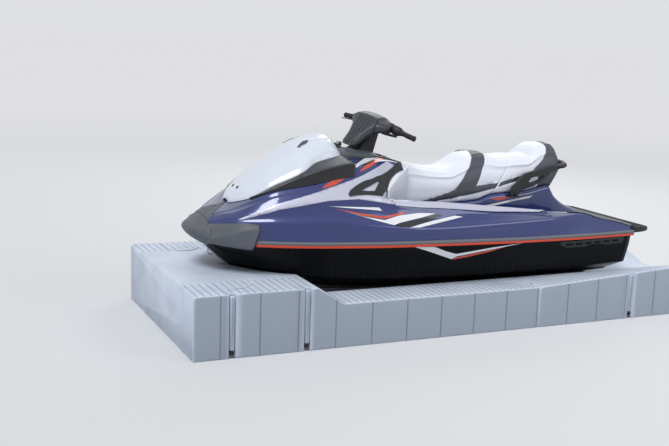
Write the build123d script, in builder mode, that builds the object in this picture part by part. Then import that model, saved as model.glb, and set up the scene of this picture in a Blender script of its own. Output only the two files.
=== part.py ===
from build123d import *
import os
from math import cos, radians, sin, tan

os.makedirs("parts", exist_ok=True)

# Personal watercraft parked on its moulded drive-on port, which is one body with the hull.
# Millimetres: +X to the bow, +Y to port, +Z up, and 0 on the floor under the middle of the port.
# Tables of the craft give s, the distance behind the nose, and h, the height above the keel.

# Driving sizes of the port
port_length = 3960
port_width = 1520
front_module_length = 2360
module_gap = 4
rail_height = 275
block_height = 385
block_flat = 765
block_slope = 177
stern_rise = 95
channel_floor = 150
channel_flat = 200
channel_mouth = 940
pocket_clearance = 14
port_edge = 12

# Driving sizes of the craft
craft_length = 3350
nose_setback = 165
keel_gap = 0.3
skin_gap = 0.3
sheer_bow = 452
sheer_stern = 395

nose_x = port_length / 2 - nose_setback
keel_z = channel_floor + keel_gap
half_port = port_width / 2
seam_x = port_length / 2 - front_module_length

# Half breadth at the flange: s, y
breadth_rows = [
    (0, 95), (100, 205), (240, 335), (480, 450), (780, 522), (1250, 577),
    (2000, 594), (2650, 560), (3130, 500), (3350, 470),
]

# Hull: s, keel height, chine y, chine height
hull_rows = [
    (100, 395, 70, 410), (240, 270, 170, 340), (480, 125, 330, 262), (780, 45, 435, 220),
    (1250, 5, 480, 190), (2000, 0, 490, 175), (2650, 0, 475, 175), (3130, 0, 440, 175),
]

# Deck: s, then y and height of the crease, valley, rim outside, rim inside and top edge
deck_rows = [
    (100, 185, 505, 170, 525, 150, 540, 120, 555, 40, 565),
    (240, 325, 555, 310, 575, 300, 590, 250, 612, 60, 628),
    (480, 440, 572, 415, 610, 412, 650, 330, 752, 200, 760),
    (780, 515, 575, 475, 625, 450, 700, 370, 808, 200, 820),
    (1000, 552, 555, 500, 610, 470, 707, 350, 890, 180, 925),
    (1250, 572, 532, 520, 585, 497, 672, 250, 915, 170, 930),
    (1420, 580, 520, 525, 568, 495, 650, 235, 870, 190, 890),
    (1550, 583, 518, 535, 555, 500, 640, 455, 672, 215, 600),
    (2000, 582, 530, 540, 555, 498, 590, 455, 622, 215, 620),
    (2120, 577, 533, 537, 553, 492, 582, 452, 608, 215, 655),
    (2400, 562, 540, 530, 550, 478, 562, 445, 574, 215, 672),
    (2650, 518, 552, 505, 553, 480, 553, 440, 550, 200, 718),
    (2860, 495, 510, 480, 512, 460, 514, 420, 505, 150, 560),
    (2980, 484, 482, 468, 484, 450, 484, 415, 470, 130, 446),
    (3130, 474, 440, 458, 444, 440, 446, 410, 446, 120, 446),
    (3150, 472, 440, 458, 444, 440, 446, 410, 446, 120, 446),
]


def at(s, y, h):
    """Point of the craft in the part's frame."""
    return (nose_x - s, y, keel_z + h)


def across(s):
    """Plane across the craft, facing forward, with its own x to port and its own y up."""
    return Plane(origin=at(s, 0, 0), x_dir=(0, 1, 0), z_dir=(1, 0, 0))


def along(y):
    """Plane along the craft, facing starboard, with its own x forward from the nose."""
    return Plane(origin=at(0, y, 0), x_dir=(1, 0, 0), z_dir=(0, -1, 0))


def between(rows, s, column):
    """Value of one column of a table at s, straight between its rows."""
    for low, high in zip(rows, rows[1:]):
        if s <= high[0]:
            share = (s - low[0]) / (high[0] - low[0])
            return low[column] + share * (high[column] - low[column])
    return rows[-1][column]


def bond(s):
    """Height of the flange where hull and deck meet."""
    return sheer_bow - (sheer_bow - sheer_stern) * s / craft_length


def breadth(s):
    """Half breadth at the flange."""
    return between(breadth_rows, s, 1)


def both_sides(points):
    """Closed outline from its points on the port side, given from the bottom to the top."""
    return points + [(-y, h) for y, h in reversed(points) if y > 0]


def skin(sections):
    """Solid through closed outlines, each given with the plane that it lies in."""
    with BuildPart() as body:
        for plane, points in sections:
            with BuildSketch(plane):
                with BuildLine():
                    Polyline(*points, close=True)
                make_face()
        loft(ruled=True)
    return body.part


def prism(plane, points, depth):
    """Solid of one closed outline, as deep as the value given, along the plane's normal."""
    with BuildPart() as body:
        with BuildSketch(plane):
            with BuildLine():
                Polyline(*points, close=True)
            make_face()
        extrude(amount=depth)
    return body.part


def box(s_low, s_high, y_low, y_high, h_low, h_high):
    """Block of the craft between two distances, two sides and two heights."""
    return prism(along(y_high), [
        (-s_low, h_low), (-s_high, h_low), (-s_high, h_high), (-s_low, h_high),
    ], y_high - y_low)


def rod(start, end, radius):
    """Round bar between two points of the part's frame."""
    with BuildPart() as body:
        with BuildLine() as axis:
            Line(start, end)
        with BuildSketch(Plane(origin=start, z_dir=axis.line % 0)):
            Circle(radius)
        sweep(path=axis.line)
    return body.part


def tube(points, radius):
    """Round bar along straight stretches between points, mitred at the corners."""
    with BuildPart() as body:
        with BuildLine() as axis:
            Polyline(*points)
        with BuildSketch(Plane(origin=points[0], z_dir=axis.line % 0)):
            Circle(radius)
        sweep(path=axis.line, transition=Transition.RIGHT)
    return body.part


def on_plane(plane, points):
    """Points of the craft, given as s, y and h, in a plane's own x and y."""
    local = [plane.to_local_coords(Vector(*at(*point))) for point in points]
    return [(point.X, point.Y) for point in local]


def hull_outline(s, room=0):
    """Outline of the hull at s, pushed outwards by the room given."""
    keel, chine_y, chine_h = (between(hull_rows, s, column) for column in (1, 2, 3))
    return both_sides([
        (0, keel - room), (chine_y + room, chine_h - room), (breadth(s) + room, bond(s)), (0, bond(s)),
    ])


def hull_side(s, h):
    """Half breadth of the hull's side at a height between chine and flange."""
    chine_y, chine_h = between(hull_rows, s, 2), between(hull_rows, s, 3)
    return chine_y + (breadth(s) - chine_y) * (h - chine_h) / (bond(s) - chine_h)


def deck_outline(row):
    """Outline of the deck from one row of its table."""
    s = row[0]
    return both_sides([(0, bond(s)), (breadth(s), bond(s)), *zip(row[1::2], row[2::2]), (0, row[10])])


def deck_side(s, h):
    """Half breadth of the deck's side at a height between flange and crease."""
    crease_y, crease_h = between(deck_rows, s, 1), between(deck_rows, s, 2)
    return breadth(s) + (crease_y - breadth(s)) * (h - bond(s)) / (crease_h - bond(s))


def deck_top(s):
    """Height of the deck's middle at s."""
    return between(deck_rows, s, 10)


def deck_height(s, y):
    """Height of the deck at s, between its inner rim and its middle."""
    rim_y, rim_h, top_y, top_h = (between(deck_rows, s, column) for column in (7, 8, 9, 10))
    return top_h if y < top_y else top_h + (rim_h - top_h) * (y - top_y) / (rim_y - top_y)


def pair(body):
    """A port side solid and its mirror image on the starboard side."""
    with BuildPart() as both:
        add(body)
        mirror(about=Plane.XZ)
    return both.part


def save(body, name):
    """Label a finished piece and write its file."""
    body.label = name
    export_step(body, "parts/" + name + ".step")


# Port: a front module with a block ahead of the bow and side rails, and a rear module that rises
# to its end. A channel takes the keel, and slots in the sides take the connecting pins.
front_slots = (235, 705)
rear_slots = (3115,)
slot_width = 44
slot_depth = 30
slot_base = 20
front_end = -front_module_length + module_gap / 2
rear_end = -front_module_length - module_gap / 2
hatch_radius = 108
hatch_recess = 6
hatch_thickness = 12
hatch_behind = 305
hatch_y = 548
link_length = 150
link_width = 70
link_thickness = 8
link_y = 620
channel_points = [
    (-channel_flat / 2, channel_floor), (channel_flat / 2, channel_floor),
    (channel_mouth / 2, rail_height), (channel_mouth / 2, 2 * block_height),
    (-channel_mouth / 2, 2 * block_height), (-channel_mouth / 2, rail_height),
]
port_side = Plane(origin=(port_length / 2, half_port, 0), x_dir=(1, 0, 0), z_dir=(0, -1, 0))
hatch_places = [(port_length / 2 - hatch_behind, side * hatch_y) for side in (1, -1)]


def port_top(behind):
    """Height of the port's top this far behind its front end."""
    if behind <= block_flat:
        return block_height
    share = min(1, (behind - block_flat) / block_slope)
    rise = stern_rise * (behind - front_module_length) / (port_length - front_module_length)
    return block_height - share * (block_height - rail_height) + max(0, rise)


def slot_cuts(distances):
    """Cutters for the slots in both sides of the port, at these distances behind its front end."""
    with BuildPart() as cuts:
        with Locations([
            (port_length / 2 - behind, side * half_port, slot_base)
            for behind in distances for side in (1, -1)
        ]):
            Box(slot_width, 2 * slot_depth, 2 * block_height, align=(Align.CENTER, Align.CENTER, Align.MIN))
    return cuts.part


def link_plates(room, height):
    """Plates across the seam between the modules, with room around them."""
    with BuildPart() as plates:
        with BuildSketch(Plane.XY.offset(rail_height - link_thickness)):
            with Locations([(seam_x, side * link_y) for side in (1, -1)]):
                RectangleRounded(link_length + 2 * room, link_width + 2 * room, link_thickness)
        extrude(amount=height)
    return plates.part


def channel_cut(start_x, end_x):
    """Cutter for the keel's channel."""
    return prism(Plane(origin=(start_x, 0, 0), x_dir=(0, 1, 0), z_dir=(1, 0, 0)), channel_points,
                 end_x - start_x)


with BuildPart() as port_front:
    add(prism(port_side, [
        (front_end, 0), (0, 0), (0, block_height - port_edge), (-port_edge, block_height),
        (-block_flat, block_height), (-block_flat - block_slope, rail_height), (front_end, rail_height),
    ], port_width))
    add(skin([(across(row[0]), hull_outline(row[0], pocket_clearance)) for row in hull_rows[:5]]),
        mode=Mode.SUBTRACT)
    add(channel_cut(seam_x, port_length / 2 - block_flat - block_slope / 2), mode=Mode.SUBTRACT)
    add(slot_cuts(front_slots), mode=Mode.SUBTRACT)
    with BuildSketch(Plane.XY.offset(block_height - hatch_recess)):
        with Locations(hatch_places):
            Circle(hatch_radius + skin_gap)
    extrude(amount=2 * hatch_recess, mode=Mode.SUBTRACT)
    add(link_plates(skin_gap, 2 * stern_rise), mode=Mode.SUBTRACT)
save(port_front.part, "port_front")

with BuildPart() as port_rear:
    add(prism(port_side, [
        (-port_length, 0), (rear_end, 0), (rear_end, rail_height), (-port_length, rail_height + stern_rise),
    ], port_width))
    add(channel_cut(-port_length / 2, seam_x), mode=Mode.SUBTRACT)
    add(slot_cuts(rear_slots), mode=Mode.SUBTRACT)
    add(link_plates(skin_gap, 2 * stern_rise), mode=Mode.SUBTRACT)
save(port_rear.part, "port_rear")

with BuildPart() as port_hatches:
    with BuildSketch(Plane.XY.offset(block_height - hatch_recess)):
        with Locations(hatch_places):
            Circle(hatch_radius)
    extrude(amount=hatch_thickness)
save(port_hatches.part, "port_hatches")

# Connecting pins: a flat foot and a round shank stand in each slot of the port's sides.
pin_radius = 14
pin_foot = 10
with BuildPart() as port_pins:
    for behind in front_slots + rear_slots:
        for side in (1, -1):
            with Locations((port_length / 2 - behind, side * (half_port - slot_depth / 2), slot_base)):
                Box(slot_width, slot_depth, pin_foot, align=(Align.CENTER, Align.CENTER, Align.MIN))
                Cylinder(pin_radius, port_top(behind) - slot_base - port_edge,
                         align=(Align.CENTER, Align.CENTER, Align.MIN))
save(port_pins.part, "port_pins")

# Link plates: they join the two modules, let into the top of both rails across the seam.
save(link_plates(0, link_thickness), "port_links")

# Hull: keel, chines and flange, with a bay for the engine and a tunnel for the pump.
bay_start = 1480
bay_end = 2150
bay_half = 190
bay_floor = 100
bay_top = 570
tunnel_start = 2700
tunnel_half = 135
tunnel_top = 290
ramp_start = 2250
ramp_half = 90
transom = hull_rows[-1][0]
plate_low = 52
plate_thickness = 12
pump_radius = 95
pump_h = plate_low + plate_thickness + skin_gap + pump_radius
shaft_radius = 12
bearing_gap = 0.3
with BuildPart() as hull_lower:
    add(skin([(across(row[0]), hull_outline(row[0])) for row in hull_rows]))
    add(box(bay_start, bay_end, -bay_half, bay_half, bay_floor, 2 * sheer_bow), mode=Mode.SUBTRACT)
    add(box(tunnel_start, transom + 1, -tunnel_half, tunnel_half, -1, tunnel_top), mode=Mode.SUBTRACT)
    add(prism(along(ramp_half), [
        (-ramp_start, -1), (-tunnel_start - 1, -1), (-tunnel_start - 1, pump_h + pump_radius / 2),
    ], 2 * ramp_half), mode=Mode.SUBTRACT)
    add(rod(at(bay_end - 1, 0, pump_h), at(tunnel_start + 1, 0, pump_h), shaft_radius + bearing_gap),
        mode=Mode.SUBTRACT)
save(hull_lower.part, "hull_lower")

# Deck: footwells open to the stern, a seat well, a storage bin under the hood, a small bin behind
# the steering, and the engine bay's upper half under the seat.
well_floor = 446
well_inner = 228
well_outer = 440
stern_inner = 205
stern_outer = 400
platform_start = 3150
mat_joint = 2990
seat_start = 1400
bin_start = 380
bin_end = 860
bin_half = 150
bin_floor = 520
glove_start = 1306
glove_end = 1384
glove_half = 95
glove_floor = 790
column_hole = 40
with BuildPart() as deck_upper:
    add(skin([(across(row[0]), deck_outline(row)) for row in deck_rows]))
    for side in (1, -1):
        inner, outer = sorted((side * well_inner, side * well_outer))
        add(prism(along(outer), [
            (-1240, well_floor), (-1200, 700), (-1445, 868), (-1600, 1000), (-2620, 1000), (-2620, well_floor),
        ], outer - inner), mode=Mode.SUBTRACT)
        inner, outer = sorted((side * stern_inner, side * stern_outer))
        add(box(2560, platform_start + 1, inner, outer, well_floor, 1000), mode=Mode.SUBTRACT)
    add(box(mat_joint, platform_start + 1, -stern_outer, stern_outer, well_floor, 1000), mode=Mode.SUBTRACT)
    add(box(seat_start, 1560, -well_inner - 1, well_inner + 1, 600, 1000), mode=Mode.SUBTRACT)
    add(box(bin_start, bin_end, -bin_half, bin_half, bin_floor, 1000), mode=Mode.SUBTRACT)
    add(box(glove_start, glove_end, -glove_half, glove_half, glove_floor, 1000), mode=Mode.SUBTRACT)
    add(box(bay_start, bay_end, -bay_half, bay_half, 300, bay_top), mode=Mode.SUBTRACT)
save(deck_upper.part, "deck_upper")

# Engine: one block on the bay's floor, with its coupling end at the shaft.
engine_start = 1530
engine_half = 165
engine_height = 430
with BuildPart() as engine:
    add(box(engine_start, bay_end - 60, -engine_half, engine_half, bay_floor, bay_floor + engine_height))
save(engine.part, "engine")

# Bow guard: a solid nose, and a wing on either side over the flange.
guard_thickness = 20
guard_down = 48
guard_up = 62
guard_end = 335
nose_rows = [
    (0, (0, 455), (60, 458), (95, 485), (80, 500), (50, 508), (0, 510)),
    (40, (0, 420), (110, 430), (162, 470), (145, 506), (100, 525), (0, 538)),
    (100 - skin_gap, (0, 385), (150, 397), (225, 450), (205, 512), (140, 548), (0, 568)),
]


def wing_outline(s):
    """Section of the guard's wing on the port side."""
    low, high = bond(s) - guard_down, min(bond(s) + guard_up, between(deck_rows, s, 2))
    edge = breadth(s) + skin_gap
    return [(edge, low), (edge + guard_thickness, bond(s) - guard_down / 2),
            (edge + guard_thickness * 0.7, high), (deck_side(s, high) + skin_gap, high), (edge, bond(s))]


with BuildPart() as bow_guard:
    add(skin([(across(s), both_sides(points)) for s, *points in nose_rows]))
    add(pair(skin([(across(s), wing_outline(s)) for s in (100 - 2 * skin_gap, 240, guard_end)])))
    add(deck_upper.part, mode=Mode.SUBTRACT)
save(bow_guard.part, "bow_guard")

# Rub rail: a band along the flange on either side.
rail_down = 26
rail_up = 12
rail_out = 16
rail_stations = (guard_end + 1, 480, 780, 1250, 2000, 2650, 3130, 3148)
with BuildPart() as rub_rail:
    add(pair(skin([(across(s), [
        (breadth(s) + skin_gap, bond(s) - rail_down), (breadth(s) + rail_out, bond(s) - rail_down),
        (breadth(s) + rail_out, bond(s) + rail_up), (breadth(s) + skin_gap, bond(s) + rail_up),
    ]) for s in rail_stations])))
    add(deck_upper.part, mode=Mode.SUBTRACT)
save(rub_rail.part, "rub_rail")

# Side panels: a bright blade on either side of the deck, wide at the knee, then a strip to the stern.
# Rows: s, and the share of the way from the rim outside to the rim inside where its top edge lies.
panel_rows = [(255, 0.04), (480, 0.29), (780, 0.52), (1000, 0.72), (1238, 0.92)]
panel_strip = 38
panel_thickness = 4
panel_root = 6
strip_rows = [(1237, 1.0), (1250, 1.0), (1420, 1.0), (1550, 0.9), (2000, 0.9), (2120, 0.8), (2400, 0.3)]


def panel_outline(s, share):
    """Thin strip of the deck's side from the rim outside up to the share given."""
    low_y, low_h, high_y, high_h = (between(deck_rows, s, column) for column in (5, 6, 7, 8))
    top_y, top_h = low_y + share * (high_y - low_y), low_h + share * (high_h - low_h)
    return [(low_y - panel_root, low_h), (low_y + panel_thickness, low_h),
            (top_y + panel_thickness, top_h + panel_thickness / 2), (top_y - panel_root, top_h)]


def strip_share(s, share):
    """Share that makes a strip of the width given, as far as the side is that wide."""
    low_y, low_h, high_y, high_h = (between(deck_rows, s, column) for column in (5, 6, 7, 8))
    wide = ((high_y - low_y) ** 2 + (high_h - low_h) ** 2) ** 0.5
    return min(0.95, share * panel_strip / wide)


side_panels = {}
for name, side in (("side_panel_left", 1), ("side_panel_right", -1)):
    with BuildPart() as side_panel:
        add(skin([(across(s), panel_outline(s, share)) for s, share in panel_rows]))
        add(skin([(across(s), panel_outline(s, strip_share(s, share))) for s, share in strip_rows]))
        if side < 0:
            add(mirror(side_panel.part, about=Plane.XZ, mode=Mode.PRIVATE), mode=Mode.REPLACE)
        add(deck_upper.part, mode=Mode.SUBTRACT)
    side_panels[side] = side_panel.part
    save(side_panel.part, name)

# Knee trims: a triangular frame beside each knee, on a plane that leans with the deck's side.
trim_thickness = 14
trim_plane = Plane(origin=at(1190, 466, 726), x_dir=(1, 0.063, 0), z_dir=(-0.038, 0.602, 0.798))
trim_edge = [(924, 447, 741), (959, 416, 762), (1262, 298, 837), (1392, 220, 890), (1431, 240, 872),
             (1410, 259, 859), (1243, 339, 807), (1143, 466, 716)]
trim_hole = [(1023, 423, 754), (1168, 352, 801), (1108, 433, 743)]
for name, side in (("knee_trim_left", 1), ("knee_trim_right", -1)):
    with BuildPart() as knee_trim:
        with BuildSketch(trim_plane):
            with BuildLine():
                Polyline(*on_plane(trim_plane, trim_edge), close=True)
            make_face()
            with BuildLine():
                Polyline(*on_plane(trim_plane, trim_hole), close=True)
            make_face(mode=Mode.SUBTRACT)
        extrude(amount=trim_thickness)
        if side < 0:
            add(mirror(knee_trim.part, about=Plane.XZ, mode=Mode.PRIVATE), mode=Mode.REPLACE)
        add(deck_upper.part, mode=Mode.SUBTRACT)
        add(side_panels[side], mode=Mode.SUBTRACT)
    save(knee_trim.part, name)

# Mats: a padded sheet in both footwells, joined across the stern.
mat_thickness = 6
mat_margin = 6
with BuildPart() as deck_mats:
    for side in (1, -1):
        low, high = sorted((side * (well_inner + mat_margin), side * (stern_outer - mat_margin)))
        add(box(1270, platform_start - 1, low, high, well_floor, well_floor + mat_thickness))
    add(box(mat_joint + mat_margin, platform_start - 1, -stern_outer + mat_margin, stern_outer - mat_margin,
            well_floor, well_floor + mat_thickness))
save(deck_mats.part, "deck_mats")

# Stern platform: a rubber ledge behind the deck, over the jet.
# Rows: s, half breadth, top height
platform_low = 392
platform_rows = [(platform_start + skin_gap, 492, 446), (3300, 455, 440), (craft_length, 400, 432)]
with BuildPart() as stern_platform:
    add(skin([(across(s), both_sides([(0, platform_low), (y, platform_low), (y, top), (0, top)]))
              for s, y, top in platform_rows]))
save(stern_platform.part, "stern_platform")

# Hood: a shell hinged at its front edge. Rows: s, edge y, side height, shoulder y and height, crown.
hood_wall = 12
hood_gap = 2.5
hood_hinge = 262
knuckle_radius = 8
knuckle_half = 55
hood_rows = [
    (266, 58, 653, 35, 661, 664), (354, 215, 700, 150, 735, 765), (480, 274, 778, 190, 838, 862),
    (660, 319, 862, 205, 950, 985), (780, 261, 915, 180, 1012, 1042), (900, 232, 938, 160, 1040, 1066),
    (962, 212, 953, 130, 1020, 1040),
]


def hood_outline(row, wall=0):
    """Outline of the hood from one row of its table, pulled inwards by the wall given."""
    s, edge, side, shoulder_y, shoulder_h, crown = row
    foot = deck_height(s, edge) + hood_gap - 2 * wall
    middle = deck_top(s) + hood_gap - 2 * wall
    return both_sides([
        (0, middle), (min(between(deck_rows, s, 9), 0.9 * edge) - wall, middle), (edge - wall, foot),
        (edge - wall, max(side, foot + 2) - wall / 2), (shoulder_y - wall, shoulder_h - wall),
        (0, crown - wall),
    ])


knuckle_h = deck_height(hood_hinge, 0) + (knuckle_radius + skin_gap) * 1.14
with BuildPart() as hood:
    add(skin([(across(row[0]), hood_outline(row)) for row in hood_rows]))
    add(skin([(across(row[0]), hood_outline(row, hood_wall)) for row in hood_rows[1:-1]]), mode=Mode.SUBTRACT)
    add(rod(at(hood_hinge, -knuckle_half, knuckle_h), at(hood_hinge, knuckle_half, knuckle_h), knuckle_radius))
save(hood.part, "hood")

# Hood pods: a dark housing along each side of the hood, ending in a mirror.
# Rows: s, inner y, inner top, outer y, outer top, foot y
pod_rows = [
    (354, 215, 700, 232, 690, 236), (480, 274, 778, 322, 774, 327), (660, 319, 862, 358, 852, 366),
    (780, 261, 915, 374, 882, 376), (900, 232, 938, 382, 906, 384), (962, 212, 953, 386, 918, 386),
    (990, 206, 948, 387, 922, 386),
]
pod_step = 16


def pod_outline(row):
    """Section of the port side pod from one row of its table."""
    s, inner, inner_top, outer, outer_top, foot = row
    low = deck_height(s, foot) + hood_gap
    return [(inner + skin_gap, deck_height(s, inner) + hood_gap), (foot, low),
            (outer, max(outer_top, low + pod_step)), (inner + skin_gap, inner_top)]


for name, side in (("hood_pod_left", 1), ("hood_pod_right", -1)):
    with BuildPart() as hood_pod:
        add(skin([(across(row[0]), pod_outline(row)) for row in pod_rows]))
        if side < 0:
            add(mirror(hood_pod.part, about=Plane.XZ, mode=Mode.PRIVATE), mode=Mode.REPLACE)
    save(hood_pod.part, name)

# Mirrors: a flat glass on the rear face of each pod.
mirror_thickness = 4
mirror_inset = 9
pod_end, mirror_inner, mirror_inner_top, mirror_outer, mirror_outer_top, mirror_foot = pod_rows[-1]
mirror_low = deck_height(pod_end, mirror_foot) + hood_gap
with BuildPart() as mirrors:
    add(pair(prism(across(pod_end + skin_gap), [
        (mirror_inner + 2 * mirror_inset, deck_height(pod_end, mirror_inner) + mirror_inset),
        (mirror_foot - mirror_inset, mirror_low + mirror_inset / 2),
        (mirror_outer - mirror_inset, mirror_outer_top - mirror_inset / 2),
        (mirror_inner + 2 * mirror_inset, mirror_inner_top - mirror_inset),
    ], -mirror_thickness)))
save(mirrors.part, "mirrors")

# Dash: a raised block behind the hood, with the bore that carries the steering column.
# Rows: s, foot half breadth, top half breadth, top height, crown height
steer_lean = 30
steer_turn = 15
steer_s = 1309
steer_h = 1150
column_radius = 24
column_low = 238
crown_half = 90
dash_rows = [
    (968, 168, 166, 955, 985), (1000, 168, 168, 955, 985), (1050, 168, 172, 952, 978),
    (1213, 166, 170, 946, 960), (1250, 164, 164, 943, 955), (1296, 160, 150, 930, 942),
]
lean, turn = radians(steer_lean), radians(steer_turn)
steer = Plane(origin=at(steer_s, 0, steer_h), x_dir=(cos(lean) * cos(turn), sin(turn), sin(lean) * cos(turn)),
              z_dir=(-sin(lean), 0, cos(lean)))


def steered(x, y, z):
    """Point of the steering's own frame, z along its axis and y along its bar, in the part's frame."""
    return steer.from_local_coords(Vector(x, y, z))


with BuildPart() as dash:
    add(skin([(across(s), both_sides([
        (0, deck_top(s) + skin_gap), (foot, deck_top(s) + skin_gap), (top_y, top_h), (crown_half, crown),
        (0, crown),
    ])) for s, foot, top_y, top_h, crown in dash_rows]))
    add(rod(steered(0, 0, -2 * column_low), steered(0, 0, 0), column_radius + bearing_gap), mode=Mode.SUBTRACT)
save(dash.part, "dash")

# Steering boot: a rubber cone on the dash around the column.
boot_base = 62
boot_top = 38
boot_room = 5
with BuildPart() as steering_boot:
    with BuildSketch(steer.offset(-column_low)):
        Circle(boot_base)
    with BuildSketch(steer.offset(-165)):
        Circle(boot_top)
    loft()
    add(rod(steered(0, 0, -2 * column_low), steered(0, 0, 0), column_radius + boot_room), mode=Mode.SUBTRACT)
    add(skin([(across(s), both_sides([
        (0, 0), (foot, 0), (top_y, top_h), (crown_half, crown), (0, crown),
    ])) for s, foot, top_y, top_h, crown in dash_rows]), mode=Mode.SUBTRACT)
save(steering_boot.part, "steering_boot")

# Gauge: a small display on the dash, facing the rider.
gauge_half = 48
gauge_start = 1002
gauge_end = 1046
with BuildPart() as gauge:
    add(prism(along(gauge_half), [
        (-gauge_start, between(dash_rows, gauge_start, 4) + skin_gap),
        (-gauge_end, between(dash_rows, gauge_end, 4) + skin_gap), (-gauge_end, 988), (-gauge_start - 6, 1012),
    ], 2 * gauge_half))
save(gauge.part, "gauge")

# Glovebox lid: a flat plate on the slope behind the dash, hinged at its front edge.
lid_start = 1300
lid_end = 1389
lid_half = 105
lid_thickness = 10
with BuildPart() as glovebox_lid:
    add(prism(along(lid_half), [
        (-lid_start, deck_top(lid_start) + skin_gap), (-lid_end, deck_top(lid_end) + skin_gap),
        (-lid_end, deck_top(lid_end) + lid_thickness), (-lid_start, deck_top(lid_start) + lid_thickness),
    ], 2 * lid_half))
save(glovebox_lid.part, "glovebox_lid")

# Steering: column and clamp, bar, cowl, grips and controls, all about one leaning axis.
bar_radius = 11
bar_middle = (-12, 55)
bar_end = (-52, 362)
clamp_size = (64, 84, 46)
grip_radius = 17
grip_length = 118
grip_cap = 8
control_radius = 23
control_length = 46
lever_radius = 5
lever_reach = 34
slope_length = ((bar_end[0] - bar_middle[0]) ** 2 + (bar_end[1] - bar_middle[1]) ** 2) ** 0.5
bar_run = ((bar_end[0] - bar_middle[0]) / slope_length, (bar_end[1] - bar_middle[1]) / slope_length)


def on_bar(side, distance, x=0, z=0):
    """Point on the bar's sloping part, this far in from its end, in the part's frame."""
    return steered(bar_end[0] - bar_run[0] * distance + x, side * (bar_end[1] - bar_run[1] * distance), z)


bar_points = [on_bar(-1, 0), on_bar(-1, slope_length), on_bar(1, slope_length), on_bar(1, 0)]
with BuildPart() as handlebar:
    add(tube(bar_points, bar_radius))
save(handlebar.part, "handlebar")

with BuildPart() as steering_column:
    add(rod(steered(0, 0, -column_low + 8), steered(0, 0, 0), column_radius))
    with BuildSketch(steer.offset(-clamp_size[2] / 2)):
        Rectangle(clamp_size[0], clamp_size[1])
    extrude(amount=clamp_size[2])
    add(tube(bar_points, bar_radius + bearing_gap), mode=Mode.SUBTRACT)
save(steering_column.part, "steering_column")

# Rows: height along the axis, rear x and half breadth, front x and half breadth, nose x
cowl_rows = [(-235, 80, 30, 105, 48, 130), (-90, 30, 62, 70, 88, 100), (0, -52, 118, 46, 126, 76),
             (42, -42, 92, 16, 108, 34)]
with BuildPart() as handlebar_cowl:
    add(skin([(steer.offset(height), [
        (rear, -rear_y), (front, -front_y), (nose, 0), (front, front_y), (rear, rear_y),
    ]) for height, rear, rear_y, front, front_y, nose in cowl_rows]))
    add(rod(steered(0, 0, -column_low), steered(0, 0, 0), column_radius + bearing_gap), mode=Mode.SUBTRACT)
    with BuildSketch(steer.offset(-clamp_size[2] / 2 - bearing_gap)):
        Rectangle(clamp_size[0] + 2 * bearing_gap, clamp_size[1] + 2 * bearing_gap)
    extrude(amount=clamp_size[2] + 2 * bearing_gap, mode=Mode.SUBTRACT)
    add(tube(bar_points, bar_radius + bearing_gap), mode=Mode.SUBTRACT)
save(handlebar_cowl.part, "handlebar_cowl")

with BuildPart() as grips:
    for side in (1, -1):
        add(rod(on_bar(side, -grip_cap), on_bar(side, grip_length), grip_radius))
    add(tube(bar_points, bar_radius + bearing_gap), mode=Mode.SUBTRACT)
save(grips.part, "grips")

with BuildPart() as controls:
    for side in (1, -1):
        add(rod(on_bar(side, grip_length + 2), on_bar(side, grip_length + 2 + control_length), control_radius))
        add(tube([on_bar(side, grip_length + control_length / 2, 0, 0),
                  on_bar(side, grip_length + control_length / 3, lever_reach, 0),
                  on_bar(side, grip_length / 4, lever_reach, 0)], lever_radius))
    add(tube(bar_points, bar_radius + bearing_gap), mode=Mode.SUBTRACT)
save(controls.part, "controls")

# Seats: two lift-off cushions that meet at a leaning joint. Rows: s, foot height or None on the
# deck, half breadth at the foot, side y and height, shoulder y and height, crown
seat_joint_s = 2118
seat_joint_h = 655
seat_joint_lean = 0.78
seat_joint_gap = 6
seat_front_rows = [
    (1403, 600, 205, 200, 760, 150, 878, 888), (1560, 601, 212, 210, 740, 152, 852, 866),
    (1650, None, 212, 212, 735, 156, 834, 849), (1800, None, 212, 212, 738, 158, 820, 836),
    (1865, None, 212, 212, 756, 158, 842, 860), (1980, None, 212, 208, 782, 150, 900, 922),
    (2045, None, 212, 205, 790, 146, 917, 940), (2100, None, 211, 205, 790, 146, 916, 939),
    (2120, None, 210, 203, 788, 147, 910, 933), (2200, None, 208, 202, 788, 149, 886, 905),
    (2360, None, 204, 195, 796, 150, 896, 914),
]
seat_rear_rows = [
    (2060, None, 206, 202, 785, 149, 886, 905), (2120, None, 206, 202, 786, 149, 886, 905),
    (2360, None, 204, 195, 796, 150, 896, 914), (2400, None, 204, 194, 800, 150, 896, 914),
    (2465, None, 201, 191, 820, 142, 898, 917), (2545, None, 199, 187, 845, 134, 958, 981),
    (2600, None, 197, 185, 858, 130, 972, 996), (2650, None, 190, 182, 862, 130, 968, 992),
    (2705, 770, 178, 170, 840, 122, 900, 918),
]


def seat_outline(row):
    """Outline of a seat from one row of its table."""
    s, low, foot, side_y, side_h, shoulder_y, shoulder_h, crown = row
    base = (deck_top(s) if low is None else low) + skin_gap
    return both_sides([(0, base), (foot, base), (side_y, side_h), (shoulder_y, shoulder_h),
                       (shoulder_y / 2, crown), (0, crown)])


def joint_line(h, gap):
    """Distance behind the nose of the joint between the seats at height h."""
    return seat_joint_s + seat_joint_lean * (h - seat_joint_h) + gap


for name, rows, gap, far in (
    ("seat_front", seat_front_rows, 0, 2600),
    ("seat_rear", seat_rear_rows, seat_joint_gap, 1900),
):
    with BuildPart() as seat:
        add(skin([(across(row[0]), seat_outline(row)) for row in rows]))
        add(prism(along(half_port), [
            (-joint_line(500, gap), 500), (-joint_line(1050, gap), 1050), (-far, 1050), (-far, 500),
        ], port_width), mode=Mode.SUBTRACT)
    save(seat.part, name)

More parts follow.
